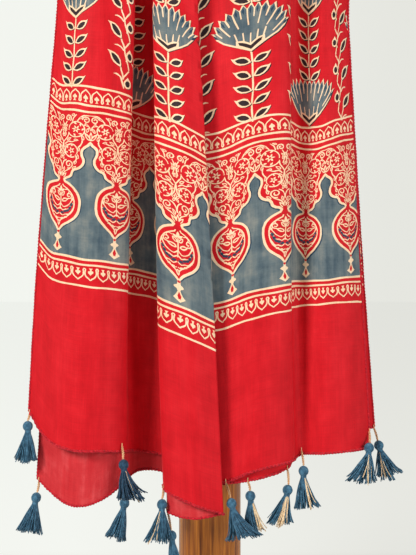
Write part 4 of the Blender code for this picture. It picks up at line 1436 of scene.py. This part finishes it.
def make_world():
    """A pale wall behind the stand, a little dimmer on the right, in a dimmer room."""
    world = bpy.data.worlds.new("studio")
    world.use_nodes = True
    tree = world.node_tree
    bpy.context.scene.world = world
    place = tree.nodes.new("ShaderNodeTexCoord")
    parts = tree.nodes.new("ShaderNodeSeparateXYZ")
    tree.links.new(place.outputs["Generated"], parts.inputs["Vector"])
    shares = []
    for axis, low, high in (("X", *WALL_TURN), ("Y", 0.25, 0.70)):
        share = tree.nodes.new("ShaderNodeMapRange")
        share.inputs["From Min"].default_value = low
        share.inputs["From Max"].default_value = high
        tree.links.new(parts.outputs[axis], share.inputs["Value"])
        shares.append(share.outputs["Result"])
    wall = tree.nodes.new("ShaderNodeMix")
    room = tree.nodes.new("ShaderNodeMix")
    wall.data_type = room.data_type = "RGBA"
    tree.links.new(shares[0], wall.inputs["Factor"])
    wall.inputs[6].default_value = WALL_LEFT
    wall.inputs[7].default_value = WALL_RIGHT
    tree.links.new(shares[1], room.inputs["Factor"])
    room.inputs[6].default_value = ROOM
    tree.links.new(wall.outputs[2], room.inputs[7])
    tree.links.new(room.outputs[2], tree.nodes["Background"].inputs["Color"])


def make_studio():
    """A pale floor that runs into the wall by a painted glow in the wall's tones, brighter on the left,
    behind the stand; a key light from the left and a weak fill from the right.
    """
    make_world()
    floor = Shader("floor", 0.9)
    parts = floor.node("ShaderNodeSeparateXYZ")
    floor.set(parts, Vector=floor.coordinates("Object"))
    behind = floor.node("ShaderNodeMapRange")
    floor.set(behind, Value=parts.outputs["Y"], From_Min=0.0, From_Max=WALL_FOOT)
    share = behind.outputs["Result"]
    cloud = floor.noise(floor.coordinates("Object"), 2.0, 2.0)
    pale = floor.ramp(cloud, [(0.3, (0.70, 0.71, 0.69, 1)), (0.7, (0.74, 0.75, 0.73, 1))])
    floor.set(floor.surface, Base_Color=floor.mix(share, pale, (0.12, 0.12, 0.12, 1)))
    floor.surface.inputs["Specular IOR Level"].default_value = 0.0
    slope = floor.maths("DIVIDE", parts.outputs["X"], floor.maths("ADD", parts.outputs["Y"], VIEW_BACK))
    turn = floor.node("ShaderNodeMapRange")
    floor.set(turn, Value=slope, From_Min=WALL_TURN[0], From_Max=WALL_TURN[1])
    # Painted light: behind the stand the floor glows in the wall's tones, brighter on the left and dimmer on
    # the right, and this glow also lights the cloth from below.
    floor.set(floor.surface, Emission_Color=floor.mix(turn.outputs["Result"], WALL_LEFT, WALL_RIGHT))
    floor.set(floor.surface, Emission_Strength=floor.maths("MULTIPLY", share, FLOOR_GLOW))
    corners = [(x * FLOOR_REACH, y * FLOOR_REACH, 0) for x, y in ((-1, -1), (1, -1), (1, 1), (-1, 1))]
    ground = mesh_object("floor", corners, [(0, 1, 2, 3)], [floor.material], smooth_faces=False)
    area_light("key", (-1.8, -1.8, 1.7), (0, 0, 0.5), (0.7, 0.7), 66.0, (1.0, 0.985, 0.96))
    area_light("fill", (1.9, -1.8, 1.1), (0, 0, 0.5), (1.2, 1.2), 38.0, (0.98, 0.98, 1.0))
    bpy.context.scene.view_settings.view_transform = "Standard"


def finish_wood():
    """The stand's nodes keep their shapes and get their wood."""
    upright = wood_material("wood_upright", (240.0, 240.0, 5.0))
    level = wood_material("wood_level", (5.0, 240.0, 240.0))
    for name, material in (("post", upright), ("base", level), ("arm_left", level), ("arm_right", level)):
        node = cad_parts[name]
        for slot in node.material_slots:
            slot.material = material


# The print's inks, in the order of their numbers: colour, where the dye took deep and pale, and how mottled
INKS = (
    ("red_ground", (0.62, 0.006, 0.013, 1), (0.50, 0.003, 0.008, 1), (0.72, 0.014, 0.022, 1), 0.7),
    ("cream_resist", (0.92, 0.66, 0.42, 1), (0.84, 0.52, 0.30, 1), (0.96, 0.76, 0.54, 1), 0.6),
    ("indigo_ground", (0.115, 0.152, 0.165, 1), (0.042, 0.074, 0.100, 1), (0.245, 0.252, 0.225, 1), 0.95),
    ("indigo_deep", (0.020, 0.050, 0.085, 1), (0.012, 0.030, 0.055, 1), (0.040, 0.085, 0.120, 1), 0.7),
    ("leaf_dark", (0.030, 0.016, 0.018, 1), (0.018, 0.010, 0.012, 1), (0.050, 0.028, 0.030, 1), 0.7),
    # The last row is no ink but painted light: a paler red for where light would shine through the left end's
    # back layer.
    ("red_painted_backlight", (0.60, 0.030, 0.036, 1), (0.52, 0.015, 0.021, 1), (0.70, 0.075, 0.080, 1), 0.8),
)
# The edges' thread and the tassels' and ties' yarns: colour, deep and pale, and the scale of their shades
YARNS = (
    ("red_thread", (0.50, 0.007, 0.018, 1), (0.26, 0.003, 0.010, 1), (0.70, 0.020, 0.035, 1), 520.0),
    ("indigo_yarn", (0.045, 0.135, 0.215, 1), (0.022, 0.070, 0.120, 1), (0.085, 0.215, 0.325, 1), 260.0),
    # A darker copy of the indigo yarn, painted shade for the tassel that hangs in the cloth's shadow.
    ("indigo_yarn_painted_shade", (0.020, 0.060, 0.110, 1), (0.010, 0.032, 0.060, 1),
    (0.045, 0.115, 0.190, 1), 260.0),
    ("peach_cord", (0.78, 0.44, 0.22, 1), (0.60, 0.30, 0.13, 1), (0.90, 0.60, 0.34, 1), 500.0),
    ("cream_yarn", (0.88, 0.66, 0.40, 1), (0.74, 0.50, 0.27, 1), (0.94, 0.76, 0.52, 1), 300.0),
)
PAINTED_SHADE_TASSEL = 1  # the tassel that hangs in the cloth's shadow, given the darker yarn as painted shade
FIRST_SEED = 11


def main():
    make_camera()
    make_studio()
    finish_wood()
    inks = [cloth_material(*row) for row in INKS]
    thread, yarn, painted_shade_yarn, cord, pale = (yarn_material(*row) for row in YARNS)
    cloth = Stole()
    stole = {}
    for end in ("left", "right"):
        half = Half(cloth, end)
        piece = make_cloth(half, inks)
        edges = make_edges(half, thread)
        stole[end] = (piece, edges)
        for found in (piece, edges):
            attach(found, "root")
        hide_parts("stole")
    for i, values in enumerate(TASSELS):
        row = dict(zip(TASSEL_COLUMNS, values))
        name = f"tassel_{row['end']}_{i % 6 + 1}"
        width = row["across"] / 1000 if row["layer"] == "front" else STOLE_WIDTH - row["across"] / 1000
        top = tie_top(cloth, row, width)
        down = leaning(row["tie_left"], row["tie_forward"]) @ Vector((0, 0, -1))
        bottom = top + down * (row["tie"] / 1000)
        tie = make_tie(name, top, bottom, cord)
        look = dict(zip(LOOK_COLUMNS, TASSEL_LOOKS[i]))
        # Painted shade: the tassel in the cloth's shadow gets the darker copy of the indigo yarn.
        shade = painted_shade_yarn if i == PAINTED_SHADE_TASSEL else yarn
        tassel = make_tassel(name, row, look, bottom, shade, pale, FIRST_SEED + i)
        for piece, node, slot in ((tie, name + "_tie", "cream_cord"), (tassel, name, "indigo_yarn")):
            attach(piece, "root")
            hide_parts(node)


main()
